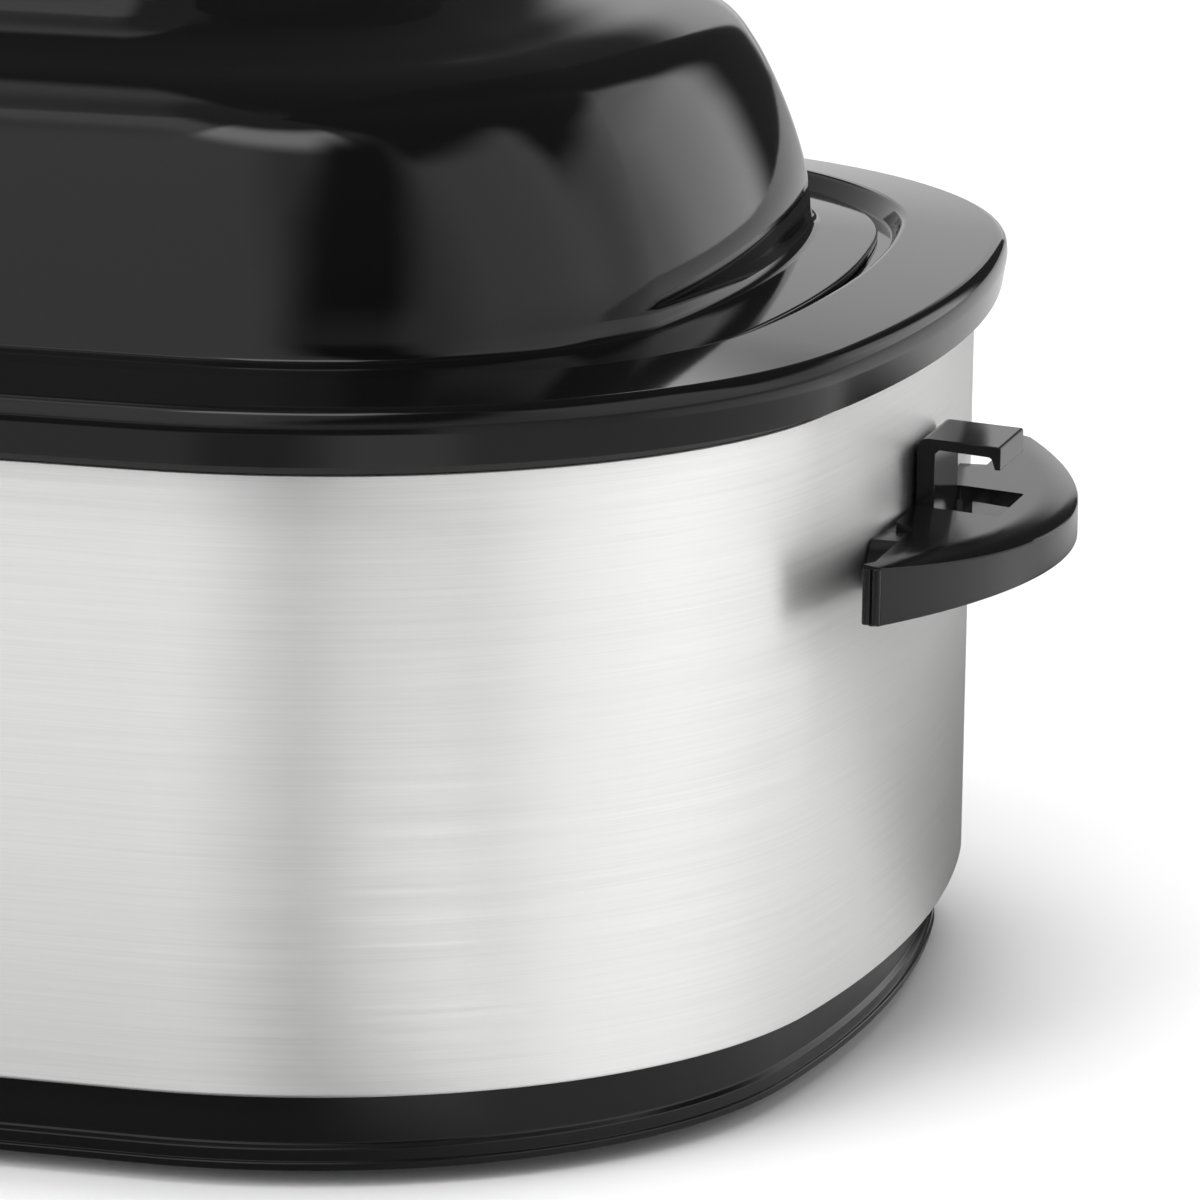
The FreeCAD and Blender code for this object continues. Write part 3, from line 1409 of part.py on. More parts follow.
def oval_wire(half_length, half_width, corner_r, end_r, level):
    """A rounded outline like the body's, from its own sizes, at a level."""
    corner_y = half_width - corner_r
    end_x = half_length - end_r
    corner_x = end_x + math.sqrt((end_r - corner_r)**2 - corner_y**2)
    turn = math.atan2(corner_y, corner_x - end_x)

    def arc(centre_x, centre_y, radius, start, end):
        steps = (start, (start + end) / 2, end)
        points = [
            Vector(centre_x + radius * math.cos(a), centre_y + radius * math.sin(a), level) for a in steps
        ]
        return Part.Arc(*points).toShape()

    def line(from_x, to_x, y):
        return Part.LineSegment(Vector(from_x, y, level), Vector(to_x, y, level)).toShape()

    quarter = math.pi / 2
    half = math.pi
    return Part.Wire([
        line(-corner_x, corner_x, -half_width),
        arc(corner_x, -corner_y, corner_r, -quarter, -turn),
        arc(end_x, 0, end_r, -turn, turn),
        arc(corner_x, corner_y, corner_r, turn, quarter),
        line(corner_x, -corner_x, half_width),
        arc(-corner_x, corner_y, corner_r, quarter, half - turn),
        arc(-end_x, 0, end_r, half - turn, half + turn),
        arc(-corner_x, -corner_y, corner_r, half + turn, half + quarter),
    ])


def dome_solid(wall):
    """The dome as a solid, its surface moved inwards by a wall.

    Its foot follows the body's outline; a corner never takes more than its share of the half width.
    """
    base = (RECESS_FLOOR + DOME_BASE_RISE).value
    height = LID_TOP.value - base
    foot_corner = D["corner_radius"].value - DOME_BASE_INSET
    foot_end = D["end_radius"].value - DOME_BASE_INSET
    wires = []
    for share, side_inset, end_inset, corner_share, end_share in DOME_SECTIONS:
        half_width = HALF_WIDTH.value - side_inset - wall
        corner_r = min(foot_corner * corner_share - wall, half_width * DOME_CORNER_LIMIT)
        wires.append(oval_wire(
            HALF_LENGTH.value - end_inset - wall,
            half_width,
            corner_r,
            foot_end * end_share - wall,
            base + share * (height - wall),
        ))
    return Part.makeLoft(wires, True, False)


def make_lid_flange():
    """The lid's hemmed flange and the bend up into the dome."""
    body = new_body("lid_flange")
    wall = D["lid_wall"]
    hem = -D["lid_flange_inset"]
    floor = RECESS_FLOOR
    base = RECESS_FLOOR + DOME_BASE_RISE
    face = sized(-DOME_BASE_INSET)
    section = front_section(body, "Section", [
        (hem, floor, 0.7),
        (hem, floor + D["lid_hem"], 0.9),
        (face + 0.9, floor + 3.8, 3.0),
        (face, base),
        (face - wall, base),
        (face + 0.9 - wall, floor + 3.8 - wall, 3.0 + wall),
        (hem - 2.5, floor + D["lid_hem"] - wall, 0.5),
        (hem - 2.5, floor),
    ])
    sweep_around(body, section)
    return body


def make_lid_shell():
    """One pressing: the hemmed flange, the steep walls, the rolled shoulder and the raised crown."""
    dome = doc.addObject("Part::Feature", "lid_dome")
    dome.Shape = dome_solid(0.0).cut(dome_solid(D["lid_wall"].value))
    holes = [
        cylinder(f"lid_hole_{number}", LID_SCREW_RADIUS + SCREW_CLEARANCE, 12.0, (along, 0.0, LID_TOP - 6.0))
        for number, along in enumerate(lid_screw_places())
    ]
    shell = cut("lid_shell", fuse("lid_sum", make_lid_flange(), dome), fuse("lid_holes", *holes))
    shell.Label = "lid_shell"
    return shell


def make_lid_handle():
    """Moulded grip on the crown: two legs and a bridge, with room for fingers under it."""
    body = new_body("lid_handle")
    sketch = new_sketch(body, "Side", "XZ_Plane")
    half = D["grip_length"] / 2
    top = LID_TOP + D["grip_height"]
    draw_polygon(sketch, [
        (-half, LID_TOP),
        (-half + 5.0, top, 14.0),
        (half - 5.0, top, 14.0),
        (half, LID_TOP),
        (half - 20.0, LID_TOP),
        (half - 23.0, top - 11.0, 8.0),
        (-half + 23.0, top - 11.0, 8.0),
        (-half + 20.0, LID_TOP),
    ])
    pad(body, sketch, D["grip_width"], both_ways=True)
    holes = new_sketch(body, "ScrewHoles", level=LID_TOP)
    for along in lid_screw_places():
        draw_circle(holes, along, 0.0, LID_SCREW_RADIUS)
    pocket(body, holes, 12.0, towards=True)
    return body


def make_lid_washers():
    """Washers between the lid and the heads of the screws that hold its handle."""
    rings = []
    under = LID_TOP - D["lid_wall"] - LID_WASHER_THICKNESS
    radius = LID_SCREW_RADIUS + SCREW_CLEARANCE
    for number, along in enumerate(lid_screw_places()):
        foot = (along, 0.0, under)
        disc = cylinder(f"washer_disc_{number}", 7.0, LID_WASHER_THICKNESS, foot)
        hole = cylinder(f"washer_hole_{number}", radius, LID_WASHER_THICKNESS, foot)
        rings.append(cut(f"lid_washer_{number}", disc, hole))
    return group("lid_washers", rings)


def make_lid_screws():
    """Two screws up through the crown into the legs of the lid handle."""
    screws = []
    seat = LID_TOP - D["lid_wall"] - LID_WASHER_THICKNESS
    for number, along in enumerate(lid_screw_places()):
        head = cylinder(f"lid_head_{number}", 4.5, 3.0, (along, 0.0, seat - 3.0))
        shank = cylinder(f"lid_shank_{number}", LID_SCREW_RADIUS, 13.0, (along, 0.0, seat))
        screws.append(fuse(f"lid_screw_{number}", head, shank))
    return group("lid_handle_screws", screws)


# ---------------------------------------------------------------- check and export
def sub_parts():
    return [
        make_base_ring(),
        make_base_plate(),
        make_feet(),
        make_standoffs(),
        make_base_screws(),
        make_heat_shield(),
        make_steel_wrap(),
        make_rim_collar(),
        make_heating_well(),
        make_insulation(),
        make_heater_band(),
        make_heater_straps(),
        make_heater_terminals(),
        make_control_bezel(),
        make_thermostat_bracket(),
        make_thermostat(),
        make_thermostat_nut(),
        make_dial_shaft(),
        make_temperature_knob(),
        make_lamp_lens(),
        make_indicator_lamp(),
        make_control_leads(),
        make_cord_gland(),
        make_terminal_block(),
        make_thermal_fuse(),
        make_roasting_pan(),
        make_handle("right", 1),
        make_handle("left", -1),
        make_backing_plates(),
        make_handle_screws(),
        make_rack(),
        make_lid_shell(),
        make_lid_handle(),
        make_lid_washers(),
        make_lid_screws(),
    ]


parts = sub_parts()
doc.recompute()
for thing in doc.Objects:
    if "Invalid" in thing.State or "Error" in thing.State:
        raise ValueError(f"{thing.Label} failed: {thing.State}")
for part in parts:
    if part.Shape.isNull() or not part.Shape.isValid():
        raise ValueError(f"{part.Label} has no valid shape")
os.makedirs("parts", exist_ok=True)
for part in parts:
    part.Shape.exportStep(f"parts/{part.Label}.step")
    print(part.Label, len(part.Shape.Solids), round(part.Shape.Volume))
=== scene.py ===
# %% [markdown]
# # A countertop roaster oven
#
# This lesson dresses a finished engineering model. The frame that is loaded here holds every part
# at its true size; the cells below add smooth, closely modelled skins for the parts that show, and
# a finish for everything. All lengths are metres, the oven faces -Y, and +X runs to its right-hand
# handle.

# %% Load the frame
import json
import math

import bpy
from mathutils import Matrix, Vector


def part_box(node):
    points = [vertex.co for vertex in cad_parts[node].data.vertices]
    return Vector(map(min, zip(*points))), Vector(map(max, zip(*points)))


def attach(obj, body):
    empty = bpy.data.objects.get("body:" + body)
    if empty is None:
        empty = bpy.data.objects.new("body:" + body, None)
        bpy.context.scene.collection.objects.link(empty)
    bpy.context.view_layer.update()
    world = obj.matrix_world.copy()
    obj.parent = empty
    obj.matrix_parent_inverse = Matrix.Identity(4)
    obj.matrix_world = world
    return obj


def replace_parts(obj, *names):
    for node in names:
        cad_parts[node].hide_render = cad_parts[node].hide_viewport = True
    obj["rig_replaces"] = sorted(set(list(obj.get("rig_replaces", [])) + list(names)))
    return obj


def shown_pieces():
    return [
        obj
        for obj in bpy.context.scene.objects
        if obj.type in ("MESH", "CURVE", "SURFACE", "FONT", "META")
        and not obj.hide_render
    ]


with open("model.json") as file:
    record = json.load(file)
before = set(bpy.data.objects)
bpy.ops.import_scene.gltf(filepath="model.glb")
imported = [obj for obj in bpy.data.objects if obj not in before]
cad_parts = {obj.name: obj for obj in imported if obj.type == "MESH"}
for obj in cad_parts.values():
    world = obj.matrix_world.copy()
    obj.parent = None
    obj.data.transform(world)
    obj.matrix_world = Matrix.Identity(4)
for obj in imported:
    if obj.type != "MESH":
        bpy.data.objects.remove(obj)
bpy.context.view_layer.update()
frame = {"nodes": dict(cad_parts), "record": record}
MM = 0.001

# %% [markdown]
# ## The outline that everything follows
#
# Seen from above the oven is a long rounded oblong: straight sides, four round corners and two ends
# that bow very slightly. Each part of the body is that outline moved in or out, so the sizes are
# worked out once, from the steel band of the frame and two radii.

# %% Sizes of the outline
wrap_low, wrap_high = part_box("steel_wrap")
HALF_LENGTH = 270.0 * MM
HALF_WIDTH = 200.0 * MM
CORNER_RADIUS = 138.5 * MM
END_RADIUS = 503.0 * MM
CORNER_Y = HALF_WIDTH - CORNER_RADIUS
END_X = HALF_LENGTH - END_RADIUS
CORNER_X = END_X + math.sqrt((END_RADIUS - CORNER_RADIUS) ** 2 - CORNER_Y ** 2)
END_TURN = math.atan2(CORNER_Y, CORNER_X - END_X)
CORNER_TURN = math.pi / 2 - END_TURN
CORNER_STEPS = 36
END_STEPS = 18
EASE = 3.0 * MM
print("outline", round(HALF_LENGTH, 4), "by", round(HALF_WIDTH, 4))
print("each corner turns", round(math.degrees(CORNER_TURN), 1), "degrees")

# %% [markdown]
# ## Working on one piece at a time
#
# An operator acts on whatever is selected, so each step first picks its own piece. Most edits then
# start with all of its mesh selected.

# %% Helpers for selecting
def deselect():
    if bpy.context.object and bpy.context.object.mode != "OBJECT":
        bpy.ops.object.mode_set(mode="OBJECT")
    bpy.ops.object.select_all(action="DESELECT")


def pick(piece):
    """Makes one piece the active one, and the only one that is selected."""
    deselect()
    bpy.context.view_layer.objects.active = piece
    piece.select_set(True)


def edit_all():
    """Goes into edit mode on the active piece with all of it selected."""
    bpy.ops.object.mode_set(mode="EDIT")
    bpy.ops.mesh.select_all(action="SELECT")


# %% [markdown]
# ## Drawing a section
#
# Bands, rims and rings are easiest as a section carried around the outline. By hand that is a point
# that is extruded along the section, corner by corner. A rounded corner is a short arc of extra
# points.

# %% Helpers for sections
ARC_STEP = math.radians(11.0)


def start_point(name, place):
    """A new piece that is one selected point: a small plane, merged to its centre and moved."""
    deselect()
    bpy.ops.mesh.primitive_plane_add(size=2 * MM)
    piece = bpy.context.object
    piece.name = piece.data.name = name
    edit_all()
    bpy.ops.mesh.merge(type="CENTER")
    bpy.ops.transform.translate(value=place)
    return piece


def push(x=0.0, y=0.0, z=0.0):
    """Extrudes what is selected and moves the new part."""
    bpy.ops.mesh.extrude_region_move(TRANSFORM_OT_translate={"value": (x, y, z)})


def draw_chain(name, places):
    """A new piece that is a chain of points, extruded from each place to the next."""
    piece = start_point(name, places[0])
    for before, after in zip(places, places[1:]):
        push(*(after - before))
    return piece


def rounded(corners):
    """The points of a chain of corners (across, up); a third number is the radius of a round one."""
    points = []
    for index, corner in enumerate(corners):
        here = Vector(corner[:2])
        if len(corner) < 3 or index in (0, len(corners) - 1):
            points.append(here)
            continue
        back = (Vector(corners[index - 1][:2]) - here).normalized()
        ahead = (Vector(corners[index + 1][:2]) - here).normalized()
        half = back.angle(ahead) / 2
        radius = corner[2]
        centre = here + (back + ahead).normalized() * radius / math.sin(half)
        start = here + back * radius / math.tan(half) - centre
        turn = math.pi - 2 * half
        if back.x * ahead.y - back.y * ahead.x > 0:
            turn = -turn
        steps = max(2, math.ceil(abs(turn) / ARC_STEP))
        for step in range(steps + 1):
            angle = turn * step / steps
            points.append(centre + Vector((
                start.x * math.cos(angle) - start.y * math.sin(angle),
                start.x * math.sin(angle) + start.y * math.cos(angle),
            )))
    return points


def draw_section(name, corners):
    """A chain in the plane x = 0 at the front, measured outwards from the steel band and up."""
    points = [(-(HALF_WIDTH + across), up) for across, up in rounded(corners)]
    piece = start_point(name, (0.0, points[0][0], points[0][1]))
    for (y0, z0), (y1, z1) in zip(points, points[1:]):
        push(y=y1 - y0, z=z1 - z0)
    return piece


# %% [markdown]
# ## Carrying the section around the body
#
# The chain goes out along the straight front, is spun about the centre of each corner and of the
# end, and comes back along the rear. That makes the right half; a mirror makes the left. Spin keeps
# every round true, which a stretched loop would not.

# %% Helpers for sweeps
def spin(steps, turn, centre_x, centre_y):
    """Spins what is selected anticlockwise about an upright axis."""
    bpy.ops.mesh.spin(
        steps=steps, angle=-turn, center=(centre_x, centre_y, 0.0), axis=(0.0, 0.0, 1.0)
    )


def carry_around():
    """Carries the selected chain from the middle of the front to the middle of the rear."""
    bpy.ops.mesh.select_all(action="SELECT")
    push(x=CORNER_X - EASE)
    push(x=EASE)
    spin(CORNER_STEPS, CORNER_TURN, CORNER_X, -CORNER_Y)
    spin(END_STEPS, 2 * END_TURN, END_X, 0.0)
    spin(CORNER_STEPS, CORNER_TURN, CORNER_X, CORNER_Y)
    push(x=-EASE)
    push(x=EASE - CORNER_X)


# %% [markdown]
# ## Finishing a mesh
#
# A swept skin is mirrored, its doubles are merged, and its wall is given by a Solidify modifier.
# Shading is smooth but for crisp corners. Modifiers are applied at once, so that each next step
# sees the real mesh.

# %% Helpers for finishing a mesh
def apply_modifier(piece, kind, **settings):
    """Adds a modifier with its settings and applies it at once."""
    pick(piece)
    modifier = piece.modifiers.new(kind.title(), kind)
    for name, value in settings.items():
        setattr(modifier, name, value)
    bpy.ops.object.modifier_apply(modifier=modifier.name)


def swept(name, corners):
    """A band all round the body: its section drawn, carried around and mirrored."""
    piece = draw_section(name, corners)
    carry_around()
    apply_modifier(piece, "MIRROR", merge_threshold=0.02 * MM)
    return piece


def tidy(piece):
    """Merges doubles and points every face outwards."""
    pick(piece)
    edit_all()
    bpy.ops.mesh.remove_doubles(threshold=0.01 * MM)
    bpy.ops.mesh.normals_make_consistent(inside=False)
    bpy.ops.object.mode_set(mode="OBJECT")


def smooth(piece, angle=32.0):
    """Smooth shading with crisp corners, the normals weighted so that flat faces stay flat."""
    pick(piece)
    bpy.ops.object.shade_smooth_by_angle(angle=math.radians(angle))
    apply_modifier(piece, "WEIGHTED_NORMAL", keep_sharp=True, weight=80)


def select_points(piece, wanted):
    """In edit mode, selects just the points whose place passes a test."""
    bpy.ops.object.mode_set(mode="EDIT")
    bpy.ops.mesh.select_mode(type="VERT")
    bpy.ops.mesh.select_all(action="DESELECT")
    bpy.ops.object.mode_set(mode="OBJECT")
    count = 0
    for point in piece.data.vertices:
        point.select = wanted(point.co)
        count += point.select
    bpy.ops.object.mode_set(mode="EDIT")
    return count


def outset(place):
    """How far a point lies outside the steel band's outline, seen from above."""
    x, y = abs(place.x), abs(place.y)
    if x <= CORNER_X and y >= CORNER_Y:
        return y - HALF_WIDTH
    if math.atan2(y, x - END_X) <= END_TURN:
        return math.hypot(x - END_X, y) - END_RADIUS
    return math.hypot(x - CORNER_X, y - CORNER_Y) - CORNER_RADIUS


def finish_shell(piece, wall):
    """Gives an open skin its wall, inwards from the side that shows."""
    tidy(piece)
    apply_modifier(piece, "SOLIDIFY", thickness=wall, offset=-1.0, use_even_offset=True)


# %% [markdown]
# ## The base ring
#
# A black moulding under the steel, set back a little, with a soft shoulder. Its foot flares out to
# a lip near the table.

# %% Base ring
ring_low, ring_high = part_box("base_ring")
RING_FOOT = ring_high[1] - HALF_WIDTH
RING_FLARE = 1.6 * MM
RING_WALL = 2.4 * MM
base_ring = swept("base_ring_skin", [
    (RING_FOOT - 5 * MM, ring_low[2]),
    (RING_FOOT, ring_low[2], 0.7 * MM),
    (RING_FOOT, ring_low[2] + 2.0 * MM, 0.5 * MM),
    (RING_FOOT - 0.7 * MM, ring_low[2] + 2.3 * MM, 0.2 * MM),
    (RING_FOOT - 0.5 * MM, ring_low[2] + 5.2 * MM, 0.6 * MM),
    (RING_FOOT - RING_FLARE, ring_low[2] + 6.4 * MM, 1.0 * MM),
    (RING_FOOT - RING_FLARE, ring_high[2], 2.2 * MM),
    (RING_FOOT - 9 * MM, ring_high[2]),
])
finish_shell(base_ring, RING_WALL)
smooth(base_ring)
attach(base_ring, "oven_body")
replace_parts(base_ring, "base_ring")
print("base ring", len(base_ring.data.polygons), "faces")

# %% [markdown]
# ## The steel band
#
# One strip of brushed steel, its foot turned in over the ring. Here and on the pan and the lid the
# skin's wall is a little thinner than the sheet, so that it stays clear of the parts behind it.

# %% Steel band
WRAP_SHEET = 0.8 * MM
WRAP_SKIN = WRAP_SHEET * 0.9
wrap = swept("steel_band", [
    (-WRAP_SHEET, wrap_high[2]),
    (0.0, wrap_high[2], 0.3 * MM),
    (0.0, wrap_low[2], 0.9 * MM),
    (-12 * MM, wrap_low[2]),
])
finish_shell(wrap, WRAP_SKIN)
smooth(wrap)
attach(wrap, "oven_body")
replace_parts(wrap, "steel_wrap")
print("steel band", len(wrap.data.polygons), "faces")

# %% [markdown]
# ## The roasting pan
#
# One pressing in black enamel. Its rim is the broad glossy collar that covers the top of the body:
# a rounded outer skirt, a top that slopes gently up inwards, and a recess that the lid stands in.

# %% Roasting pan
pan_low, pan_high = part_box("roasting_pan")
RIM_REACH = pan_high[1] - HALF_WIDTH
RIM_TOP = pan_high[2]
RIM_LIP = RIM_TOP - 16.4 * MM
RECESS_FLOOR = RIM_TOP - 5.5 * MM
PAN_WALL = 1.3 * MM
PAN_SKIN = PAN_WALL * 0.85
RACK_CLEARANCE = 0.15 * MM
PAN_FLOOR = pan_low[2] + PAN_WALL - RACK_CLEARANCE
FLOOR_EDGE = -82.3 * MM
RECESS_EDGE = -19.5 * MM
pan = swept("roasting_pan_skin", [
    (RIM_REACH - 1.4 * MM, RIM_LIP),
    (RIM_REACH, RIM_LIP + 8.5 * MM, 9 * MM),
    (RIM_REACH - 0.8 * MM, RIM_TOP - 2.7 * MM, 3.8 * MM),
    (RECESS_EDGE, RIM_TOP, 2.2 * MM),
    (-22.0 * MM, RECESS_FLOOR, 1.0 * MM),
    (-40.0 * MM, RECESS_FLOOR, 2.2 * MM),
    (-46.3 * MM, PAN_FLOOR, 15 * MM),
    (FLOOR_EDGE, PAN_FLOOR),
])
tidy(pan)
select_points(
    pan, lambda p: abs(p.z - PAN_FLOOR) < 0.1 * MM and abs(outset(p) - FLOOR_EDGE) < 0.5 * MM
)
bpy.ops.mesh.edge_face_add()
finish_shell(pan, PAN_SKIN)
smooth(pan)
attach(pan, "pan")
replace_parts(pan, "roasting_pan")
print("pan", len(pan.data.polygons), "faces")

# %% [markdown]
# ## The lid
#
# The flange is swept like the other parts. From its inner edge the wall is raised ring by ring:
# each ring is extruded, lifted and drawn in towards the middle, a little more at the ends than at
# the sides. The heights and draws come from a smooth curve through a few chosen levels of the real
# form.

# %% Lid
lid_low, lid_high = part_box("lid_shell")
LID_WALL = 1.2 * MM
LID_SKIN = LID_WALL * 0.95
DOME_FOOT = RECESS_FLOOR + 7.6 * MM
FOOT_INSET = 43.7 * MM
CROWN_INSET = 4 * MM
lid = swept("lid_skin", [
    (-26.0 * MM, lid_low[2] + 0.2 * MM),
    (-26.0 * MM, lid_low[2] + 2.0 * MM, 0.9 * MM),
    (-42.8 * MM, lid_low[2] + 3.8 * MM, 3.0 * MM),
    (-FOOT_INSET, DOME_FOOT),
])
tidy(lid)

# share of the height, inset at the sides, inset at the ends
DOME_LEVELS = [
    (0.000, 43.7, 43.7),
    (0.102, 45.3, 44.9),
    (0.224, 47.6, 48.4),
    (0.347, 50.5, 53.4),
    (0.449, 54.5, 58.6),
    (0.531, 60.5, 64.6),
    (0.592, 69.5, 75.0),
    (0.633, 81.0, 88.5),
    (0.684, 91.0, 104.0),
    (0.776, 99.0, 121.0),
    (0.888, 106.0, 136.0),
    (0.964, 114.5, 150.0),
    (1.000, 127.0, 167.0),
]
STEPS_BETWEEN = 5


def between(before, start, end, after, share):
    """A smooth curve through start and end that looks at the points before and after them."""
    return 0.5 * (
        2 * start
        + (end - before) * share
        + (2 * before - 5 * start + 4 * end - after) * share ** 2
        + (3 * start - before - 3 * end + after) * share ** 3
    )


def smooth_levels(levels, steps):
    """More levels between the chosen ones, on a curve through them all."""
    padded = [levels[0]] + levels + [levels[-1]]
    result = [levels[0]]
    for index in range(1, len(padded) - 2):
        four = padded[index - 1:index + 3]
        for step in range(1, steps + 1):
            result.append(tuple(between(*column, step / steps) for column in zip(*four)))
    return result


count = select_points(lid, lambda p: abs(p.z - DOME_FOOT) < 0.05 * MM)
dome_height = lid_high[2] - DOME_FOOT
levels = smooth_levels(DOME_LEVELS, STEPS_BETWEEN)
for (share0, side0, end0), (share1, side1, end1) in zip(levels, levels[1:]):
    push(z=(share1 - share0) * dome_height)
    bpy.ops.transform.resize(
        value=(
            (HALF_LENGTH - end1 * MM) / (HALF_LENGTH - end0 * MM),
            (HALF_WIDTH - side1 * MM) / (HALF_WIDTH - side0 * MM),
            1.0,
        ),
        center_override=(0.0, 0.0, 0.0),
    )
bpy.ops.mesh.edge_face_add()
bpy.ops.mesh.inset(thickness=CROWN_INSET)
finish_shell(lid, LID_SKIN)
smooth(lid, 40.0)
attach(lid, "lid")
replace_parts(lid, "lid_shell")
print("lid", count, "points round,", len(lid.data.polygons), "faces")

# %% [markdown]
# ## Working on solid pieces
#
# The handles, the knob and the lid's grip are solid mouldings. They start as a swept section or a
# small block, and slots, feet and hooks are then cut out or joined on with booleans, as a modeller
# would.

# %% Helpers for solid pieces
SHARP = math.radians(50)


def cut_away(piece, tool, operation="DIFFERENCE"):
    """Cuts a tool piece out of another, or joins it on, and removes the tool."""
    apply_modifier(piece, "BOOLEAN", operation=operation, solver="EXACT", object=tool)
    bpy.data.objects.remove(tool)


def soften(piece, width, segments):
    """Rounds over every edge that is sharper than the limit."""
    apply_modifier(
        piece, "BEVEL", width=width, segments=segments, limit_method="ANGLE", angle_limit=SHARP
    )


def turn_about(angle, axis, centre=(0.0, 0.0, 0.0)):
    """Turns what is selected about an axis through a point."""
    bpy.ops.transform.rotate(value=angle, orient_axis=axis, center_override=centre)


def block(name, low, high, bevel=0.0):
    """A block between two corners, its edges rounded over where a bevel is given."""
    deselect()
    middle = [(a + b) / 2 for a, b in zip(low, high)]
    size = [b - a for a, b in zip(low, high)]
    bpy.ops.mesh.primitive_cube_add(size=1.0)
    piece = bpy.context.object
    piece.name = piece.data.name = name
    edit_all()
    bpy.ops.transform.resize(value=size)
    bpy.ops.transform.translate(value=middle)
    bpy.ops.object.mode_set(mode="OBJECT")
    if bevel:
        apply_modifier(piece, "BEVEL", width=bevel, segments=3, limit_method="ANGLE")
    return piece


def rod(name, radius, length, start, axis, steps):
    """A round bar from its start along an axis; steps is its number of sides."""
    deselect()
    bpy.ops.mesh.primitive_cylinder_add(vertices=steps, radius=radius, depth=length)
    piece = bpy.context.object
    piece.name = piece.data.name = name
    edit_all()
    bpy.ops.transform.translate(value=(0.0, 0.0, length / 2))
    if axis != "Z":
        turn_about(math.pi / 2, "Y" if axis == "X" else "X")
        bpy.ops.object.mode_set(mode="OBJECT")
        low = min((point.co.x if axis == "X" else point.co.y) for point in piece.data.vertices)
        bpy.ops.object.mode_set(mode="EDIT")
        if low < -length / 2:
            turn_about(math.pi, "Z")
    bpy.ops.transform.translate(value=start)
    bpy.ops.object.mode_set(mode="OBJECT")
    return piece


def prism(name, corners, start, length, axis="Y"):
    """A solid with a drawn face, carried along an axis: its corners lie along the other two."""
    frames = {
        "Y": (Vector((1, 0, 0)), Vector((0, 0, 1)), Vector((0, 1, 0))),
        "Z": (Vector((1, 0, 0)), Vector((0, 1, 0)), Vector((0, 0, 1))),
    }
    across, up, along = frames[axis]
    places = [across * p.x + up * p.y + along * start for p in rounded(corners)]
    piece = draw_chain(name, places)
    bpy.ops.mesh.select_all(action="SELECT")
    bpy.ops.mesh.edge_face_add()
    push(*(along * length))
    bpy.ops.mesh.select_all(action="SELECT")
    bpy.ops.mesh.normals_make_consistent(inside=False)
    bpy.ops.object.mode_set(mode="OBJECT")
    return piece


# %% [markdown]
# ## The side handles
#
# Each is a shallow crescent shelf of glossy black plastic: thin on top, a skirt around the bowed
# edge, and hollow underneath. Its section is drawn once and spun about the bow's centre. The rings
# of the top are then tipped down one by one, the outer ones more than the inner, which gives a flat
# plate with a rounded shoulder that fades out towards the tips, as on the real moulding.

# %% Sizes of the handle
HANDLE_TOP = 139.0 * MM
HANDLE_SKIRT = 15.6 * MM
HANDLE_WALL = 2.6 * MM
HANDLE_SKIN = 3.2 * MM
HANDLE_REACH = 36.4 * MM
TIP_REACH = 8.9 * MM
HALF_SPAN = 86.0 * MM
BOW_DEPTH = HANDLE_REACH - TIP_REACH
BOW_RADIUS = (HALF_SPAN ** 2 + BOW_DEPTH ** 2) / (2 * BOW_DEPTH)
BOW_CENTRE = HALF_LENGTH + HANDLE_REACH - BOW_RADIUS
BOW_WIDTH = 44 * MM
BOW_START = BOW_RADIUS - BOW_WIDTH
PAST_THE_TIP = math.radians(1.5)
BOW_TURN = math.asin(HALF_SPAN / BOW_RADIUS) + PAST_THE_TIP
BOW_STEPS = 60
PLATE_SLOPE = 0.07
EDGE_SLOPE = 0.143
CEILING_SLOPE = 0.11
FOOT_SLOPE = 0.044
SHOULDER = 9.5 * MM
SHOULDER_RINGS = [SHOULDER * share for share in (1.0, 0.8, 0.62, 0.46, 0.32, 0.2, 0.1, 0.03)]
print("the bow's radius is", round(BOW_RADIUS / MM, 1), "mm")


# %% Drawing and tipping the crescent
def tip_down(piece, wanted, slope, axis_x, axis_z):
    """Turns points down and away from the body about a level axis, and keeps their reach."""
    select_points(piece, wanted)
    axis = (axis_x, 0.0, axis_z)
    angle = math.atan(slope)
    turn_about(-angle, "Y", axis)
    bpy.ops.transform.resize(value=(1 / math.cos(angle), 1.0, 1.0), center_override=axis)
    bpy.ops.object.mode_set(mode="OBJECT")


def handle_shell(name):
    """The spun crescent, with its top and the foot of its skirt still level."""
    bottom = HANDLE_TOP - HANDLE_SKIRT
    ceiling = HANDLE_TOP - HANDLE_SKIN
    inside = BOW_RADIUS - HANDLE_WALL
    points = rounded(
        [(BOW_START, HANDLE_TOP)]
        + [(BOW_RADIUS - ring, HANDLE_TOP) for ring in SHOULDER_RINGS]
        + [
            (BOW_RADIUS, HANDLE_TOP - 0.35 * MM),
            (BOW_RADIUS, bottom, 0.6 * MM),
            (inside, bottom, 0.6 * MM),
            (inside, ceiling, 1.2 * MM),
            (BOW_START, ceiling),
        ]
    )
    cos, sin = math.cos(-BOW_TURN), math.sin(-BOW_TURN)
    places = [Vector((BOW_CENTRE + p.x * cos, p.x * sin, p.y)) for p in points]
    shell = draw_chain(name, places)
    bpy.ops.mesh.select_all(action="SELECT")
    bpy.ops.mesh.edge_face_add()
    spin(BOW_STEPS, 2 * BOW_TURN, BOW_CENTRE, 0.0)
    tidy(shell)
    return shell


def on_ring(radius):
    """A test for the points of the level top at one radius from the bow's centre."""
    return lambda p: p.z > HANDLE_TOP - 0.5 * MM and (
        abs(math.hypot(p.x - BOW_CENTRE, p.y) - radius) < 0.05 * MM
    )


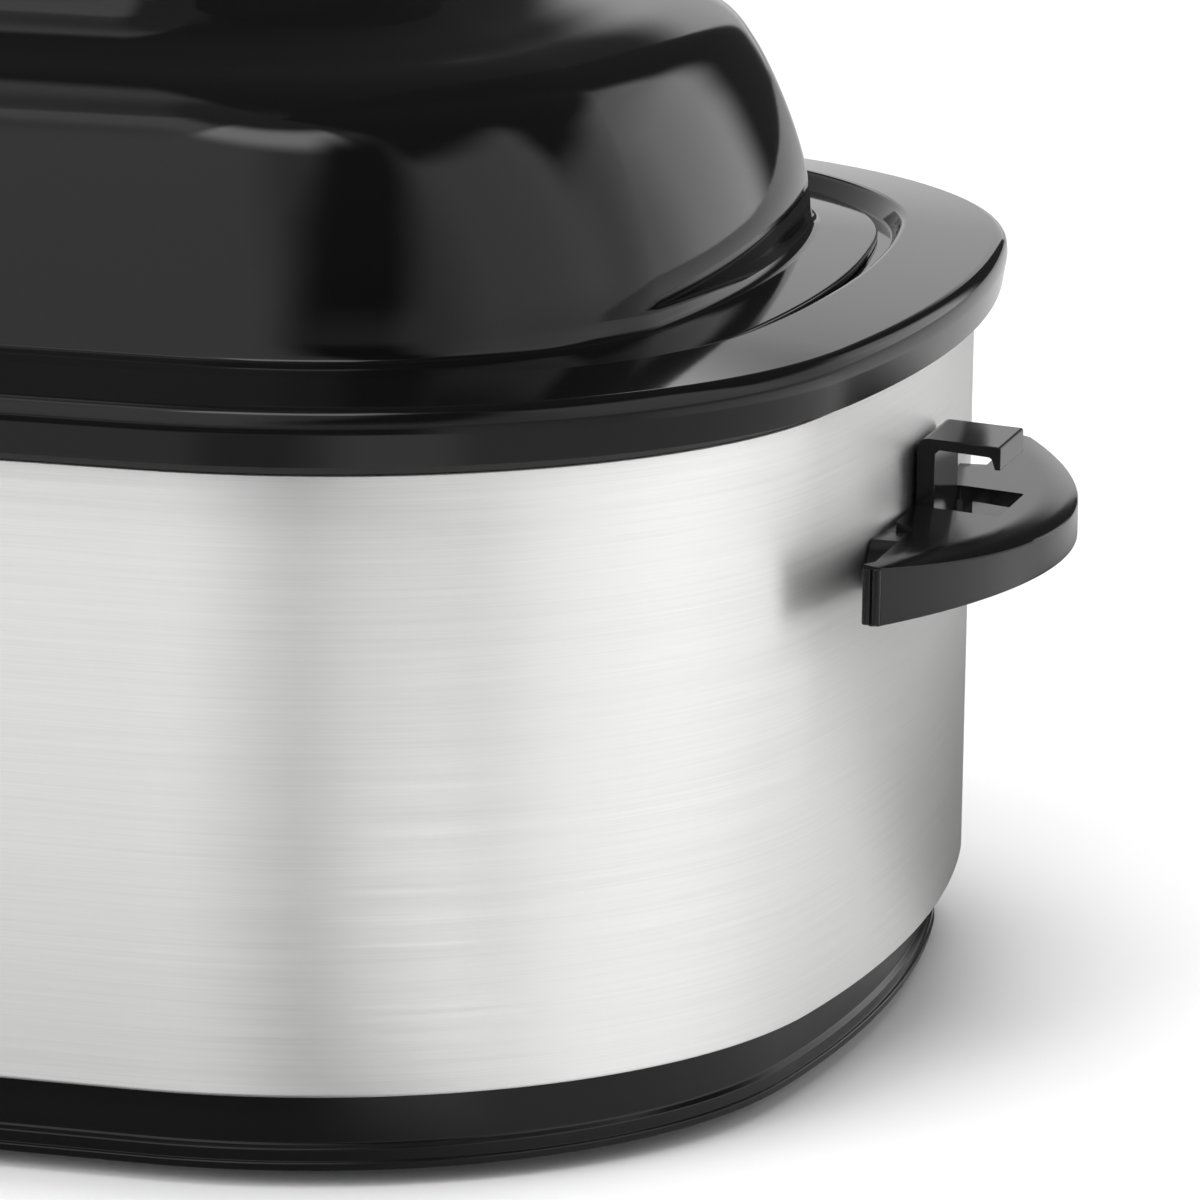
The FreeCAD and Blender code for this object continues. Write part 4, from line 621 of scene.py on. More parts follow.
def in_ceiling(outer):
    """A test for the points of the hollow's ceiling, at its outer corner or at its inner edge."""
    ceiling = HANDLE_TOP - HANDLE_SKIN
    return lambda p: abs(p.z - ceiling) < 1.3 * MM and (
        (math.hypot(p.x - BOW_CENTRE, p.y) > BOW_START + 1 * MM) == outer
    )


# %% Shell of the handle
handle = handle_shell("handle_right_skin")
bottom = HANDLE_TOP - HANDLE_SKIRT
tip_down(handle, lambda p: p.z < bottom + 1 * MM, -FOOT_SLOPE, HALF_LENGTH + TIP_REACH, bottom)
tip_down(handle, in_ceiling(outer=False), PLATE_SLOPE, HALF_LENGTH, HANDLE_TOP)
tip_down(handle, in_ceiling(outer=True), CEILING_SLOPE, HALF_LENGTH, HANDLE_TOP)
rings = [(BOW_START, 0.0)]
rings += [(BOW_RADIUS - ring, (1 - ring / SHOULDER) ** 2) for ring in SHOULDER_RINGS]
rings.append((BOW_RADIUS, 1.0))
for radius, share in rings:
    slope = PLATE_SLOPE + (EDGE_SLOPE - PLATE_SLOPE) * share
    tip_down(handle, on_ring(radius), slope, HALF_LENGTH, HANDLE_TOP)
print("handle shell", len(handle.data.polygons), "faces")

# %% [markdown]
# One tool, drawn from above, trims the crescent by the body: it leaves a straight inner edge, a
# tongue in the middle that reaches in to the steel, and two blunt tips. A wall then closes the
# hollow.

# %% Trim by the body, and inner wall
HANDLE_INNER = HALF_LENGTH + 6.3 * MM
TONGUE_EDGE = HALF_LENGTH + 0.8 * MM
TONGUE_HALF = 36.0 * MM
TIP_WIDTH = 4.6 * MM
tip_x = HALF_LENGTH + TIP_REACH
past_x = tip_x + 8 * MM
past_y = HALF_SPAN + 12 * MM
behind = BOW_CENTRE + BOW_START * math.cos(BOW_TURN) - 10 * MM
one_side = [
    (TONGUE_EDGE, TONGUE_HALF),
    (HANDLE_INNER, TONGUE_HALF + 6 * MM),
    (HANDLE_INNER, HALF_SPAN - TIP_WIDTH),
    (tip_x - TIP_WIDTH, HALF_SPAN),
    (past_x, HALF_SPAN),
    (past_x, past_y),
    (behind, past_y),
]
other_side = [(x, -y) for x, y in reversed(one_side)]
trim = prism("trim", one_side + other_side, bottom - 5 * MM, HANDLE_SKIRT + 10 * MM, "Z")
cut_away(handle, trim)
half_wall = HALF_SPAN - TIP_WIDTH - 1 * MM
wall = block(
    "inner_wall",
    (HANDLE_INNER, -half_wall, bottom + 0.2 * MM),
    (HANDLE_INNER + HANDLE_WALL, half_wall, HANDLE_TOP - 2.0 * MM),
)
cut_away(handle, wall, "UNION")
print("trimmed to", len(handle.data.polygons), "faces")

# %% [markdown]
# The slot goes right through the shelf, between the post of the hook and the outer edge. The hook
# is drawn from the side: a post close to the steel, an arm over the slot, and a small lip at its
# end.

# %% Slot and hook
HOOK_WIDTH = 27.0 * MM
HOOK_TOP = HANDLE_TOP + 17.0 * MM
POST_DEPTH = 4.6 * MM
SLOT_HALF = 15 * MM
near = HALF_LENGTH + 0.6 * MM
far = HALF_LENGTH + 22.0 * MM
post = near + POST_DEPTH
slot_tool = block(
    "slot_tool",
    (post - 0.3 * MM, -SLOT_HALF, bottom - 5 * MM),
    (far + 0.3 * MM, SLOT_HALF, HANDLE_TOP + 5 * MM),
    1.0 * MM,
)
cut_away(handle, slot_tool)
hook = prism("hook", [
    (near, HANDLE_TOP - 8.5 * MM),
    (near, HOOK_TOP, 2.5 * MM),
    (far, HOOK_TOP - 1.2 * MM, 0.8 * MM),
    (far, HOOK_TOP - 7.1 * MM, 0.25 * MM),
    (far - 1.4 * MM, HOOK_TOP - 7.1 * MM, 0.25 * MM),
    (far - 2.4 * MM, HOOK_TOP - 4.0 * MM, 1.5 * MM),
    (post, HOOK_TOP - 2.9 * MM, 1.0 * MM),
    (post, HANDLE_TOP - 8.5 * MM),
], -HOOK_WIDTH / 2, HOOK_WIDTH)
soften(hook, 0.35 * MM, 3)
cut_away(handle, hook, "UNION")
print("with slot and hook", len(handle.data.polygons), "faces")

# %% [markdown]
# Two round bosses stand the handle off the steel and take its screws. Each is a rod that lies
# square to the curve of the body's end, trimmed to the height of the shelf. Each blunt tip ends in
# two round beads.

# %% Bosses, and beads at the tips
BOSS_GAP = 0.2 * MM
BOSS_RADIUS = 8.5 * MM
BOSS_PLACE = 45.0 * MM
SCREW_LEVEL = HANDLE_TOP - 9.0 * MM
BEAD_RADIUS = 1.2 * MM


def boss(centre):
    """One boss at a distance along the handle from its middle."""
    piece = rod("boss", BOSS_RADIUS, 16 * MM, (HALF_LENGTH + BOSS_GAP, 0.0, SCREW_LEVEL), "X", 64)
    slab = block(
        "slab",
        (HALF_LENGTH - 5 * MM, -15 * MM, bottom + 1.6 * MM),
        (HALF_LENGTH + 30 * MM, 15 * MM, HANDLE_TOP - 1.9 * MM),
    )
    cut_away(piece, slab, "INTERSECT")
    pick(piece)
    edit_all()
    turn_about(-math.asin(centre / END_RADIUS), "Z", (END_X, 0.0, 0.0))
    bpy.ops.object.mode_set(mode="OBJECT")
    return piece


for centre in (-BOSS_PLACE, BOSS_PLACE):
    cut_away(handle, boss(centre), "UNION")
for side in (-1, 1):
    for inward in (1.3 * MM, 3.5 * MM):
        foot = (tip_x - inward, side * (HALF_SPAN + 0.1 * MM), bottom + 0.3 * MM)
        bead = rod("bead", BEAD_RADIUS, HANDLE_SKIRT - 1.6 * MM, foot, "Z", 20)
        apply_modifier(bead, "BEVEL", width=0.4 * MM, segments=2, limit_method="ANGLE")
        cut_away(handle, bead, "UNION")
tidy(handle)
smooth(handle, 35.0)
print("right handle", len(handle.data.polygons), "faces")

# %% [markdown]
# The left handle is the same moulding turned half round. It gets a mesh of its own.

# %% Left handle
pick(handle)
bpy.ops.object.duplicate(linked=False)
left_handle = bpy.context.object
left_handle.name = left_handle.data.name = "handle_left_skin"
pick(left_handle)
edit_all()
turn_about(math.pi, "Z")
bpy.ops.object.mode_set(mode="OBJECT")
for piece, node in ((handle, "handle_right"), (left_handle, "handle_left")):
    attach(piece, "oven_body")
    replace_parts(piece, node)
print("left handle reaches", round(min(p.co.x for p in left_handle.data.vertices) / MM, 1))

# %% [markdown]
# ## The collar
#
# A black ring sits on the top edge of the steel and carries the well. Only a thin set-back band of
# it shows, in the shadow under the pan's rim.

# %% Collar
COLLAR_TOP = 186.3 * MM
COLLAR_WALL = 2.2 * MM
collar = swept("rim_collar_skin", [
    (-1.2 * MM, wrap_high[2] - 6.0 * MM),
    (-1.2 * MM, wrap_high[2] + 0.2 * MM),
    (-0.4 * MM, wrap_high[2] + 0.2 * MM, 0.2 * MM),
    (-0.4 * MM, COLLAR_TOP - 5.0 * MM, 1.5 * MM),
    (-10.4 * MM, COLLAR_TOP, 2.5 * MM),
    (-33.6 * MM, COLLAR_TOP),
])
finish_shell(collar, COLLAR_WALL)
smooth(collar)
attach(collar, "oven_body")
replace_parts(collar, "rim_collar")
print("collar", len(collar.data.polygons), "faces")

# %% [markdown]
# ## Turned pieces
#
# The dial, the lamp's lens and the cord's bush are turned shapes. Half of each section is drawn
# beside its axis, which runs out of the face of the oven, and spun a full turn.

# %% Helper for turned pieces
def turned(name, corners, level, along=0.0, facing=-1, steps=96):
    """A piece turned about a level axis: corners are (radius, distance out from the steel)."""
    points = rounded(corners)
    places = [Vector((along + p.x, facing * (HALF_WIDTH + p.y), level)) for p in points]
    piece = draw_chain(name, places)
    bpy.ops.mesh.select_all(action="SELECT")
    bpy.ops.mesh.spin(
        steps=steps, angle=2 * math.pi, center=(along, 0.0, level), axis=(0.0, 1.0, 0.0)
    )
    tidy(piece)
    return piece


# %% [markdown]
# ## The dial
#
# A thin plain skirt, a raised middle, and a finger bar right across it with a pale pointer let into
# its end.

# %% Dial
DIAL_LEVEL = 69.0 * MM
DIAL_RADIUS = 24.5 * MM
BAR_HALF = 5.0 * MM
BAR_ROUND = 4.8 * MM
HOLLOW_RADIUS = 9.5 * MM
knob = turned("temperature_knob_skin", [
    (HOLLOW_RADIUS, 8.5 * MM),
    (HOLLOW_RADIUS, 2.1 * MM, 0.3 * MM),
    (DIAL_RADIUS, 2.1 * MM, 0.3 * MM),
    (DIAL_RADIUS, 3.6 * MM, 0.7 * MM),
    (DIAL_RADIUS - 5.5 * MM, 5.0 * MM, 1.5 * MM),
    (DIAL_RADIUS - 7.0 * MM, 9.5 * MM, 2.0 * MM),
    (0.0, 10.5 * MM),
    (0.0, 8.5 * MM),
    (HOLLOW_RADIUS, 8.5 * MM),
], DIAL_LEVEL)
bar_reach = DIAL_RADIUS - 3.0 * MM
bar = prism("finger_bar", [
    (0.0, DIAL_LEVEL - bar_reach),
    (BAR_HALF, DIAL_LEVEL - bar_reach, BAR_ROUND),
    (BAR_HALF, DIAL_LEVEL + bar_reach, BAR_ROUND),
    (-BAR_HALF, DIAL_LEVEL + bar_reach, BAR_ROUND),
    (-BAR_HALF, DIAL_LEVEL - bar_reach, BAR_ROUND),
], -HALF_WIDTH - 15.0 * MM, 12.0 * MM)
tidy(bar)
soften(bar, 1.2 * MM, 4)
cut_away(knob, bar, "UNION")
groove = block(
    "groove",
    (-0.7 * MM, -HALF_WIDTH - 16 * MM, DIAL_LEVEL + 8 * MM),
    (0.7 * MM, -HALF_WIDTH - 14.6 * MM, DIAL_LEVEL + bar_reach - 2.4 * MM),
)
cut_away(knob, groove)
smooth(knob, 35.0)
pointer = block(
    "dial_pointer",
    (-0.65 * MM, -HALF_WIDTH - 14.8 * MM, DIAL_LEVEL + 8.05 * MM),
    (0.65 * MM, -HALF_WIDTH - 14.55 * MM, DIAL_LEVEL + bar_reach - 2.45 * MM),
)
for piece in (knob, pointer):
    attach(piece, "dial")
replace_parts(knob, "temperature_knob")
print("dial", len(knob.data.polygons), "faces")

# %% [markdown]
# ## The panel, the lamp and the cord's bush
#
# The panel is a pill-shaped plate, dished around the dial and pierced for the lamp, whose lens
# stands out of it as a low dome.

# %% Panel, lens and bush
PANEL_HALF_WIDTH = 56.0 * MM
PANEL_HALF_HEIGHT = 31.0 * MM
PANEL_ROUND = 30.4 * MM
PANEL_DEPTH = 3.0 * MM
LAMP_ALONG = 42.0 * MM
LENS_RADIUS = 4.6 * MM
panel = prism("control_bezel_skin", [
    (0.0, DIAL_LEVEL - PANEL_HALF_HEIGHT),
    (PANEL_HALF_WIDTH, DIAL_LEVEL - PANEL_HALF_HEIGHT, PANEL_ROUND),
    (PANEL_HALF_WIDTH, DIAL_LEVEL + PANEL_HALF_HEIGHT, PANEL_ROUND),
    (-PANEL_HALF_WIDTH, DIAL_LEVEL + PANEL_HALF_HEIGHT, PANEL_ROUND),
    (-PANEL_HALF_WIDTH, DIAL_LEVEL - PANEL_HALF_HEIGHT, PANEL_ROUND),
], -HALF_WIDTH - PANEL_DEPTH, PANEL_DEPTH - 0.05 * MM)
tidy(panel)
soften(panel, 0.8 * MM, 4)
HOLES = (
    # name, radius, length, place along, distance out from the steel, steps
    ("dish", DIAL_RADIUS + 1.2 * MM, 10 * MM, 0.0, 11.3 * MM, 128),
    ("shaft_hole", 8.5 * MM, 30 * MM, 0.0, 15 * MM, 64),
    ("lamp_hole", LENS_RADIUS + 0.1 * MM, 30 * MM, LAMP_ALONG, 15 * MM, 64),
)
for name, radius, length, along, out, steps in HOLES:
    cut_away(panel, rod(name, radius, length, (along, -HALF_WIDTH - out, DIAL_LEVEL), "Y", steps))
smooth(panel, 35.0)
lens = turned("lamp_lens_skin", [
    (0.0, 0.1 * MM),
    (LENS_RADIUS, 0.1 * MM),
    (LENS_RADIUS, 4.2 * MM, 1.6 * MM),
    (0.0, 5.2 * MM),
], DIAL_LEVEL, LAMP_ALONG, steps=64)
smooth(lens, 50.0)
BUSH_LEVEL = 50.0 * MM
BUSH_BORE = 4.4 * MM
BUSH_BARREL = 6.2 * MM
BUSH_RIM = 9.0 * MM
bush = turned("cord_gland_skin", [
    (BUSH_BORE, -6.0 * MM),
    (BUSH_BORE, 2.5 * MM, 0.8 * MM),
    (BUSH_RIM, 2.5 * MM, 1.0 * MM),
    (BUSH_RIM, 0.1 * MM),
    (BUSH_BARREL, 0.1 * MM),
    (BUSH_BARREL, -6.0 * MM),
    (BUSH_BORE, -6.0 * MM),
], BUSH_LEVEL, facing=1, steps=64)
smooth(bush, 35.0)
for piece, node in ((panel, "control_bezel"), (lens, "lamp_lens"), (bush, "cord_gland")):
    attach(piece, "oven_body")
    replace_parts(piece, node)
    print(node, len(piece.data.polygons), "faces")

# %% [markdown]
# ## The lid's handle
#
# An arched moulding on the crown. Its side is drawn with round corners and carried across, and all
# its edges are then softened for the hand.

# %% Lid handle
GRIP_HALF = 64.0 * MM
GRIP_WIDTH = 24.0 * MM
LID_TOP = 294.0 * MM
GRIP_TOP = LID_TOP + 30.0 * MM
GRIP_BAR = 11 * MM
grip = prism("lid_handle_skin", [
    (0.0, GRIP_TOP),
    (GRIP_HALF - 5 * MM, GRIP_TOP, 14 * MM),
    (GRIP_HALF, LID_TOP),
    (GRIP_HALF - 20 * MM, LID_TOP),
    (GRIP_HALF - 23 * MM, GRIP_TOP - GRIP_BAR, 8 * MM),
    (-GRIP_HALF + 23 * MM, GRIP_TOP - GRIP_BAR, 8 * MM),
    (-GRIP_HALF + 20 * MM, LID_TOP),
    (-GRIP_HALF, LID_TOP),
    (-GRIP_HALF + 5 * MM, GRIP_TOP, 14 * MM),
], -GRIP_WIDTH / 2, GRIP_WIDTH)
tidy(grip)
soften(grip, 3.0 * MM, 6)
smooth(grip, 50.0)
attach(grip, "lid")
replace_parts(grip, "lid_handle")
print("lid handle", len(grip.data.polygons), "faces")

# %% [markdown]
# ## Finishes
#
# Every finish is procedural and reads the object's own coordinates through a Mapping node, so
# nothing depends on an unwrap. Two effects are shared as node groups: a fine grain, which gives
# paint its slight orange peel and mouldings their satin, and the lengthwise brushing of the steel.

# %% Shared effects
def new_group(name, inputs, outputs):
    """An empty node group with its sockets; returns the tree and its two end nodes."""
    tree = bpy.data.node_groups.new(name, "ShaderNodeTree")
    for label, kind, value in inputs:
        socket = tree.interface.new_socket(name=label, in_out="INPUT", socket_type=kind)
        if value is not None:
            socket.default_value = value
    for label, kind in outputs:
        tree.interface.new_socket(name=label, in_out="OUTPUT", socket_type=kind)
    return tree, tree.nodes.new("NodeGroupInput"), tree.nodes.new("NodeGroupOutput")


def noise(tree, vector, scale, detail=2.0):
    """A noise texture; its scale is a number or a socket."""
    node = tree.nodes.new("ShaderNodeTexNoise")
    node.inputs["Detail"].default_value = detail
    tree.links.new(vector, node.inputs["Vector"])
    if isinstance(scale, float):
        node.inputs["Scale"].default_value = scale
    else:
        tree.links.new(scale, node.inputs["Scale"])
    return node.outputs["Fac"]


def spread(tree, value, low, high):
    """Stretches the middle of a noise over a range whose ends are sockets or numbers."""
    node = tree.nodes.new("ShaderNodeMapRange")
    node.inputs["From Min"].default_value = 0.3
    node.inputs["From Max"].default_value = 0.7
    tree.links.new(value, node.inputs["Value"])
    for label, end in (("To Min", low), ("To Max", high)):
        if isinstance(end, float):
            node.inputs[label].default_value = end
        else:
            tree.links.new(end, node.inputs[label])
    return node.outputs["Result"]


def bump(tree, height, distance, strength):
    """A relief of a given depth, from a height and a strength that are sockets."""
    node = tree.nodes.new("ShaderNodeBump")
    node.inputs["Distance"].default_value = distance
    tree.links.new(height, node.inputs["Height"])
    tree.links.new(strength, node.inputs["Strength"])
    return node.outputs["Normal"]


grain, start, end = new_group("fine_grain", [
    ("Vector", "NodeSocketVector", None),
    ("Scale", "NodeSocketFloat", 400.0),
    ("Relief", "NodeSocketFloat", 0.2),
    ("Smoothest", "NodeSocketFloat", 0.1),
    ("Roughest", "NodeSocketFloat", 0.2),
], [("Normal", "NodeSocketVector"), ("Roughness", "NodeSocketFloat")])
peel = noise(grain, start.outputs["Vector"], start.outputs["Scale"], 3.0)
grain.links.new(bump(grain, peel, 0.03 * MM, start.outputs["Relief"]), end.inputs["Normal"])
cloud = noise(grain, start.outputs["Vector"], 9.0, 3.0)
patch = spread(grain, cloud, start.outputs["Smoothest"], start.outputs["Roughest"])
grain.links.new(patch, end.inputs["Roughness"])

brushing, start, end = new_group("brushing", [
    ("Vector", "NodeSocketVector", None),
    ("Relief", "NodeSocketFloat", 0.3),
], [("Tone", "NodeSocketFloat"), ("Normal", "NodeSocketVector"), ("Roughness", "NodeSocketFloat")])
fine_lines = noise(brushing, start.outputs["Vector"], 3.0, 4.0)
broad_lines = noise(brushing, start.outputs["Vector"], 0.7, 2.0)
brushing.links.new(spread(brushing, fine_lines, 0.0, 1.0), end.inputs["Tone"])
brushing.links.new(spread(brushing, broad_lines, 0.40, 0.47), end.inputs["Roughness"])
brushing.links.new(
    bump(brushing, fine_lines, 0.02 * MM, start.outputs["Relief"]), end.inputs["Normal"]
)
print("groups", [tree.name for tree in bpy.data.node_groups])

# %% [markdown]
# A finish is one Principled shader. Constant values sit on its own sockets; only what varies over
# the surface comes through a link.

# %% Making a finish
def new_finish(name, colour, **sockets):
    """A material with its shader and its mapped object coordinates."""
    finish = bpy.data.materials.new(name)
    finish.use_nodes = True
    tree = finish.node_tree
    tree.nodes.clear()
    shader = tree.nodes.new("ShaderNodeBsdfPrincipled")
    output = tree.nodes.new("ShaderNodeOutputMaterial")
    tree.links.new(shader.outputs["BSDF"], output.inputs["Surface"])
    place = tree.nodes.new("ShaderNodeTexCoord")
    mapping = tree.nodes.new("ShaderNodeMapping")
    tree.links.new(place.outputs["Object"], mapping.inputs["Vector"])
    shader.inputs["Base Color"].default_value = (*colour, 1.0)
    for label, value in sockets.items():
        shader.inputs[label.replace("_", " ")].default_value = value
    finish.diffuse_color = (*colour, 1.0)
    return finish, tree, shader, mapping


def grained(name, colour, rough, scale, relief, **sockets):
    """A plain finish with the fine grain: rough is its lowest and highest roughness."""
    finish, tree, shader, mapping = new_finish(name, colour, **sockets)
    node = tree.nodes.new("ShaderNodeGroup")
    node.node_tree = grain
    tree.links.new(mapping.outputs["Vector"], node.inputs["Vector"])
    levels = {"Scale": scale, "Relief": relief, "Smoothest": rough[0], "Roughest": rough[1]}
    for label, value in levels.items():
        node.inputs[label].default_value = value
    tree.links.new(node.outputs["Normal"], shader.inputs["Normal"])
    tree.links.new(node.outputs["Roughness"], shader.inputs["Roughness"])
    return finish


PLAIN_FINISHES = (
    # name, colour, lowest and highest roughness, scale and relief of the grain, other sockets
    ("black_enamel", (0.004, 0.004, 0.004), (0.045, 0.075), 330.0, 0.10,
     {"Specular_IOR_Level": 0.27}),
    ("black_gloss_plastic", (0.005, 0.005, 0.005), (0.12, 0.18), 700.0, 0.15,
     {"Specular_IOR_Level": 0.30}),
    ("black_plastic", (0.018, 0.018, 0.018), (0.42, 0.5), 1500.0, 0.5, {}),
    ("plated_steel", (0.55, 0.56, 0.57), (0.28, 0.4), 500.0, 0.2, {"Metallic": 1.0}),
    ("black_rubber", (0.03, 0.03, 0.03), (0.7, 0.85), 1500.0, 0.6, {}),
    ("bright_sheet", (0.8, 0.8, 0.81), (0.16, 0.26), 300.0, 0.1, {"Metallic": 1.0}),
    ("well_enamel", (0.05, 0.05, 0.055), (0.16, 0.26), 500.0, 0.25, {}),
    ("glass_wool", (0.72, 0.66, 0.45), (0.85, 0.95), 300.0, 1.0, {}),
    ("heater_steel", (0.42, 0.41, 0.40), (0.36, 0.5), 400.0, 0.3, {"Metallic": 1.0}),
    ("brass", (0.78, 0.60, 0.30), (0.22, 0.32), 400.0, 0.15, {"Metallic": 1.0}),
    ("thermostat_case", (0.30, 0.13, 0.07), (0.4, 0.5), 800.0, 0.3, {}),
    ("lens_amber", (0.95, 0.35, 0.06), (0.05, 0.08), 300.0, 0.05, {"Transmission_Weight": 0.6}),
    ("lamp_glass", (0.95, 0.6, 0.4), (0.02, 0.04), 300.0, 0.02, {"Transmission_Weight": 0.9}),
    ("lead_sleeve", (0.8, 0.78, 0.7), (0.8, 0.9), 1500.0, 0.8, {}),
    ("white_plastic", (0.85, 0.84, 0.80), (0.35, 0.45), 800.0, 0.2, {}),
    ("chrome_wire", (0.80, 0.80, 0.82), (0.07, 0.13), 500.0, 0.08, {"Metallic": 1.0}),
)
FINISHES = {name: grained(name, *looks, **others) for name, *looks, others in PLAIN_FINISHES}
print(len(FINISHES), "plain finishes")

# %% [markdown]
# The steel is brushed along its length. The mapping squeezes the noise upwards, so that it becomes
# fine level lines, and the shader's highlight is drawn out across them.

# %% Brushed steel
steel, tree, shader, mapping = new_finish(
    "brushed_steel", (0.96, 0.955, 0.95), Metallic=1.0, Anisotropic=0.85, Anisotropic_Rotation=0.25
)
LINE_SCALE = (6.0, 6.0, 900.0)
mapping.inputs["Scale"].default_value = LINE_SCALE
lines = tree.nodes.new("ShaderNodeGroup")
lines.node_tree = brushing
tree.links.new(mapping.outputs["Vector"], lines.inputs["Vector"])
DARK_LINES = (0.93, 0.925, 0.92, 1.0)
PALE_LINES = (0.99, 0.985, 0.98, 1.0)
mix = tree.nodes.new("ShaderNodeMix")
mix.data_type = "RGBA"
mix.inputs["A"].default_value = DARK_LINES
mix.inputs["B"].default_value = PALE_LINES
tree.links.new(lines.outputs["Tone"], mix.inputs["Factor"])
tree.links.new(mix.outputs["Result"], shader.inputs["Base Color"])
tree.links.new(lines.outputs["Normal"], shader.inputs["Normal"])
tree.links.new(lines.outputs["Roughness"], shader.inputs["Roughness"])
around = tree.nodes.new("ShaderNodeTangent")
around.direction_type = "RADIAL"
around.axis = "Z"
tree.links.new(around.outputs["Tangent"], shader.inputs["Tangent"])
FINISHES["brushed_steel"] = steel
print("brushed steel has", len(tree.nodes), "nodes")

# %% [markdown]
# Each part takes the finish that the record names for it: the skins take the one of the part they
# stand for, and the parts of the frame that still show take their own.

# %% Putting the finishes on
slots = {part["node"]: part["material_slot"] for part in frame["record"]["subparts"]}


def put_on(piece, slot_name):
    """Gives a piece one finish in place of any that it has."""
    piece.data.materials.clear()
    piece.data.materials.append(FINISHES[slot_name])


for name, part in frame["nodes"].items():
    put_on(part, slots[name])
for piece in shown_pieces():
    if "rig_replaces" in piece:
        slot_name = slots[piece["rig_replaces"][0]]
        put_on(piece, slot_name)
pointer.data.materials.append(FINISHES["white_plastic"])

# %% [markdown]
# ## The stage
#
# The floor and the surround are shaded with soft windows: a mask that is one inside a soft-edged
# rectangle, by place on the floor and by direction in the surround. The mask is a node group, so
# that each window is one node with five numbers.

# %% Helpers for shading by numbers
TO_DEGREES = 180 / math.pi


def maths(tree, operation, first, second=None):
    """One math node; each operand is a number or an output."""
    node = tree.nodes.new("ShaderNodeMath")
    node.operation = operation
    for place, operand in enumerate((first, second)):
        if isinstance(operand, (int, float)):
            node.inputs[place].default_value = operand
        elif operand is not None:
            tree.links.new(operand, node.inputs[place])
    return node.outputs["Value"]


def soft_step(tree, value, far, near):
    """Rises smoothly from 0 where the value is far to 1 where it is near."""
    node = tree.nodes.new("ShaderNodeMapRange")
    node.interpolation_type = "SMOOTHSTEP"
    tree.links.new(value, node.inputs["Value"])
    tree.links.new(far, node.inputs["From Min"])
    tree.links.new(near, node.inputs["From Max"])
    return node.outputs["Result"]


# %% Soft windows
window, start, end = new_group("soft_window", [
    ("Across", "NodeSocketFloat", 0.0),
    ("Up", "NodeSocketFloat", 0.0),
    ("Centre Across", "NodeSocketFloat", 0.0),
    ("Half Across", "NodeSocketFloat", 10.0),
    ("Centre Up", "NodeSocketFloat", 30.0),
    ("Half Up", "NodeSocketFloat", 10.0),
    ("Softness", "NodeSocketFloat", 5.0),
], [("Mask", "NodeSocketFloat")])
sides = []
for way in ("Across", "Up"):
    off = maths(window, "SUBTRACT", start.outputs[way], start.outputs["Centre " + way])
    off = maths(window, "ABSOLUTE", off)
    far = maths(window, "ADD", start.outputs["Half " + way], start.outputs["Softness"])
    near = maths(window, "SUBTRACT", start.outputs["Half " + way], start.outputs["Softness"])
    sides.append(soft_step(window, off, far, near))
window.links.new(maths(window, "MULTIPLY", *sides), end.inputs["Mask"])


def window_mask(tree, across, up, place):
    """The soft window at a centre and half size across and up, as a mask."""
    node = tree.nodes.new("ShaderNodeGroup")
    node.node_tree = window
    tree.links.new(across, node.inputs["Across"])
    tree.links.new(up, node.inputs["Up"])
    labels = ("Centre Across", "Half Across", "Centre Up", "Half Up", "Softness")
    for label, number in zip(labels, place):
        node.inputs[label].default_value = number
    return node.outputs["Mask"]


def blend(tree, mask, low, high):
    """Goes from one level to another by a mask; each level is a number or an output."""
    node = tree.nodes.new("ShaderNodeMix")
    tree.links.new(mask, node.inputs["Factor"])
    for label, level in (("A", low), ("B", high)):
        if isinstance(level, float):
            node.inputs[label].default_value = level
        else:
            tree.links.new(level, node.inputs[label])
    return node.outputs["Result"]


print("soft window has", len(window.nodes), "nodes")

# %% [markdown]
# The floor is pale, but in reflections its colour is painted darker, with patches of painted shade
# and painted light on it: the upright steel mirrors the floor around it, and an even floor would
# leave it flat. Most patches are placed by heading, in degrees about the centre of the front right
# corner, and by distance from it in centimetres, so that they show in the steel as upright bands of
# painted reflection. The last one is placed along and across the oven.

# %% Floor
FLOOR_TONE = 0.97
# The floor's colour as reflections see it: painted shade, darker than its real tone.
FLOOR_IN_GLOSS = 0.62
TO_CENTIMETRES = 100.0
deselect()
bpy.ops.mesh.primitive_plane_add(size=14.0, location=(0.0, 0.0, -0.5 * MM))
floor = bpy.context.object
floor.name = "floor"
finish, tree, shader, mapping = new_finish(
    "pale_floor", (FLOOR_TONE,) * 3, Roughness=0.9, Specular_IOR_Level=0.1
)
split = tree.nodes.new("ShaderNodeSeparateXYZ")
tree.links.new(mapping.outputs["Vector"], split.inputs["Vector"])
east = maths(tree, "SUBTRACT", split.outputs["X"], CORNER_X)
south = maths(tree, "SUBTRACT", -CORNER_Y, split.outputs["Y"])
turn = maths(tree, "MULTIPLY", maths(tree, "ARCTAN2", east, south), TO_DEGREES)
east_squared = maths(tree, "MULTIPLY", east, east)
south_squared = maths(tree, "MULTIPLY", south, south)
distance = maths(tree, "SQRT", maths(tree, "ADD", east_squared, south_squared))
away = maths(tree, "MULTIPLY", distance, TO_CENTIMETRES)
near_x = maths(tree, "MULTIPLY", split.outputs["X"], TO_CENTIMETRES)
near_y = maths(tree, "MULTIPLY", split.outputs["Y"], TO_CENTIMETRES)
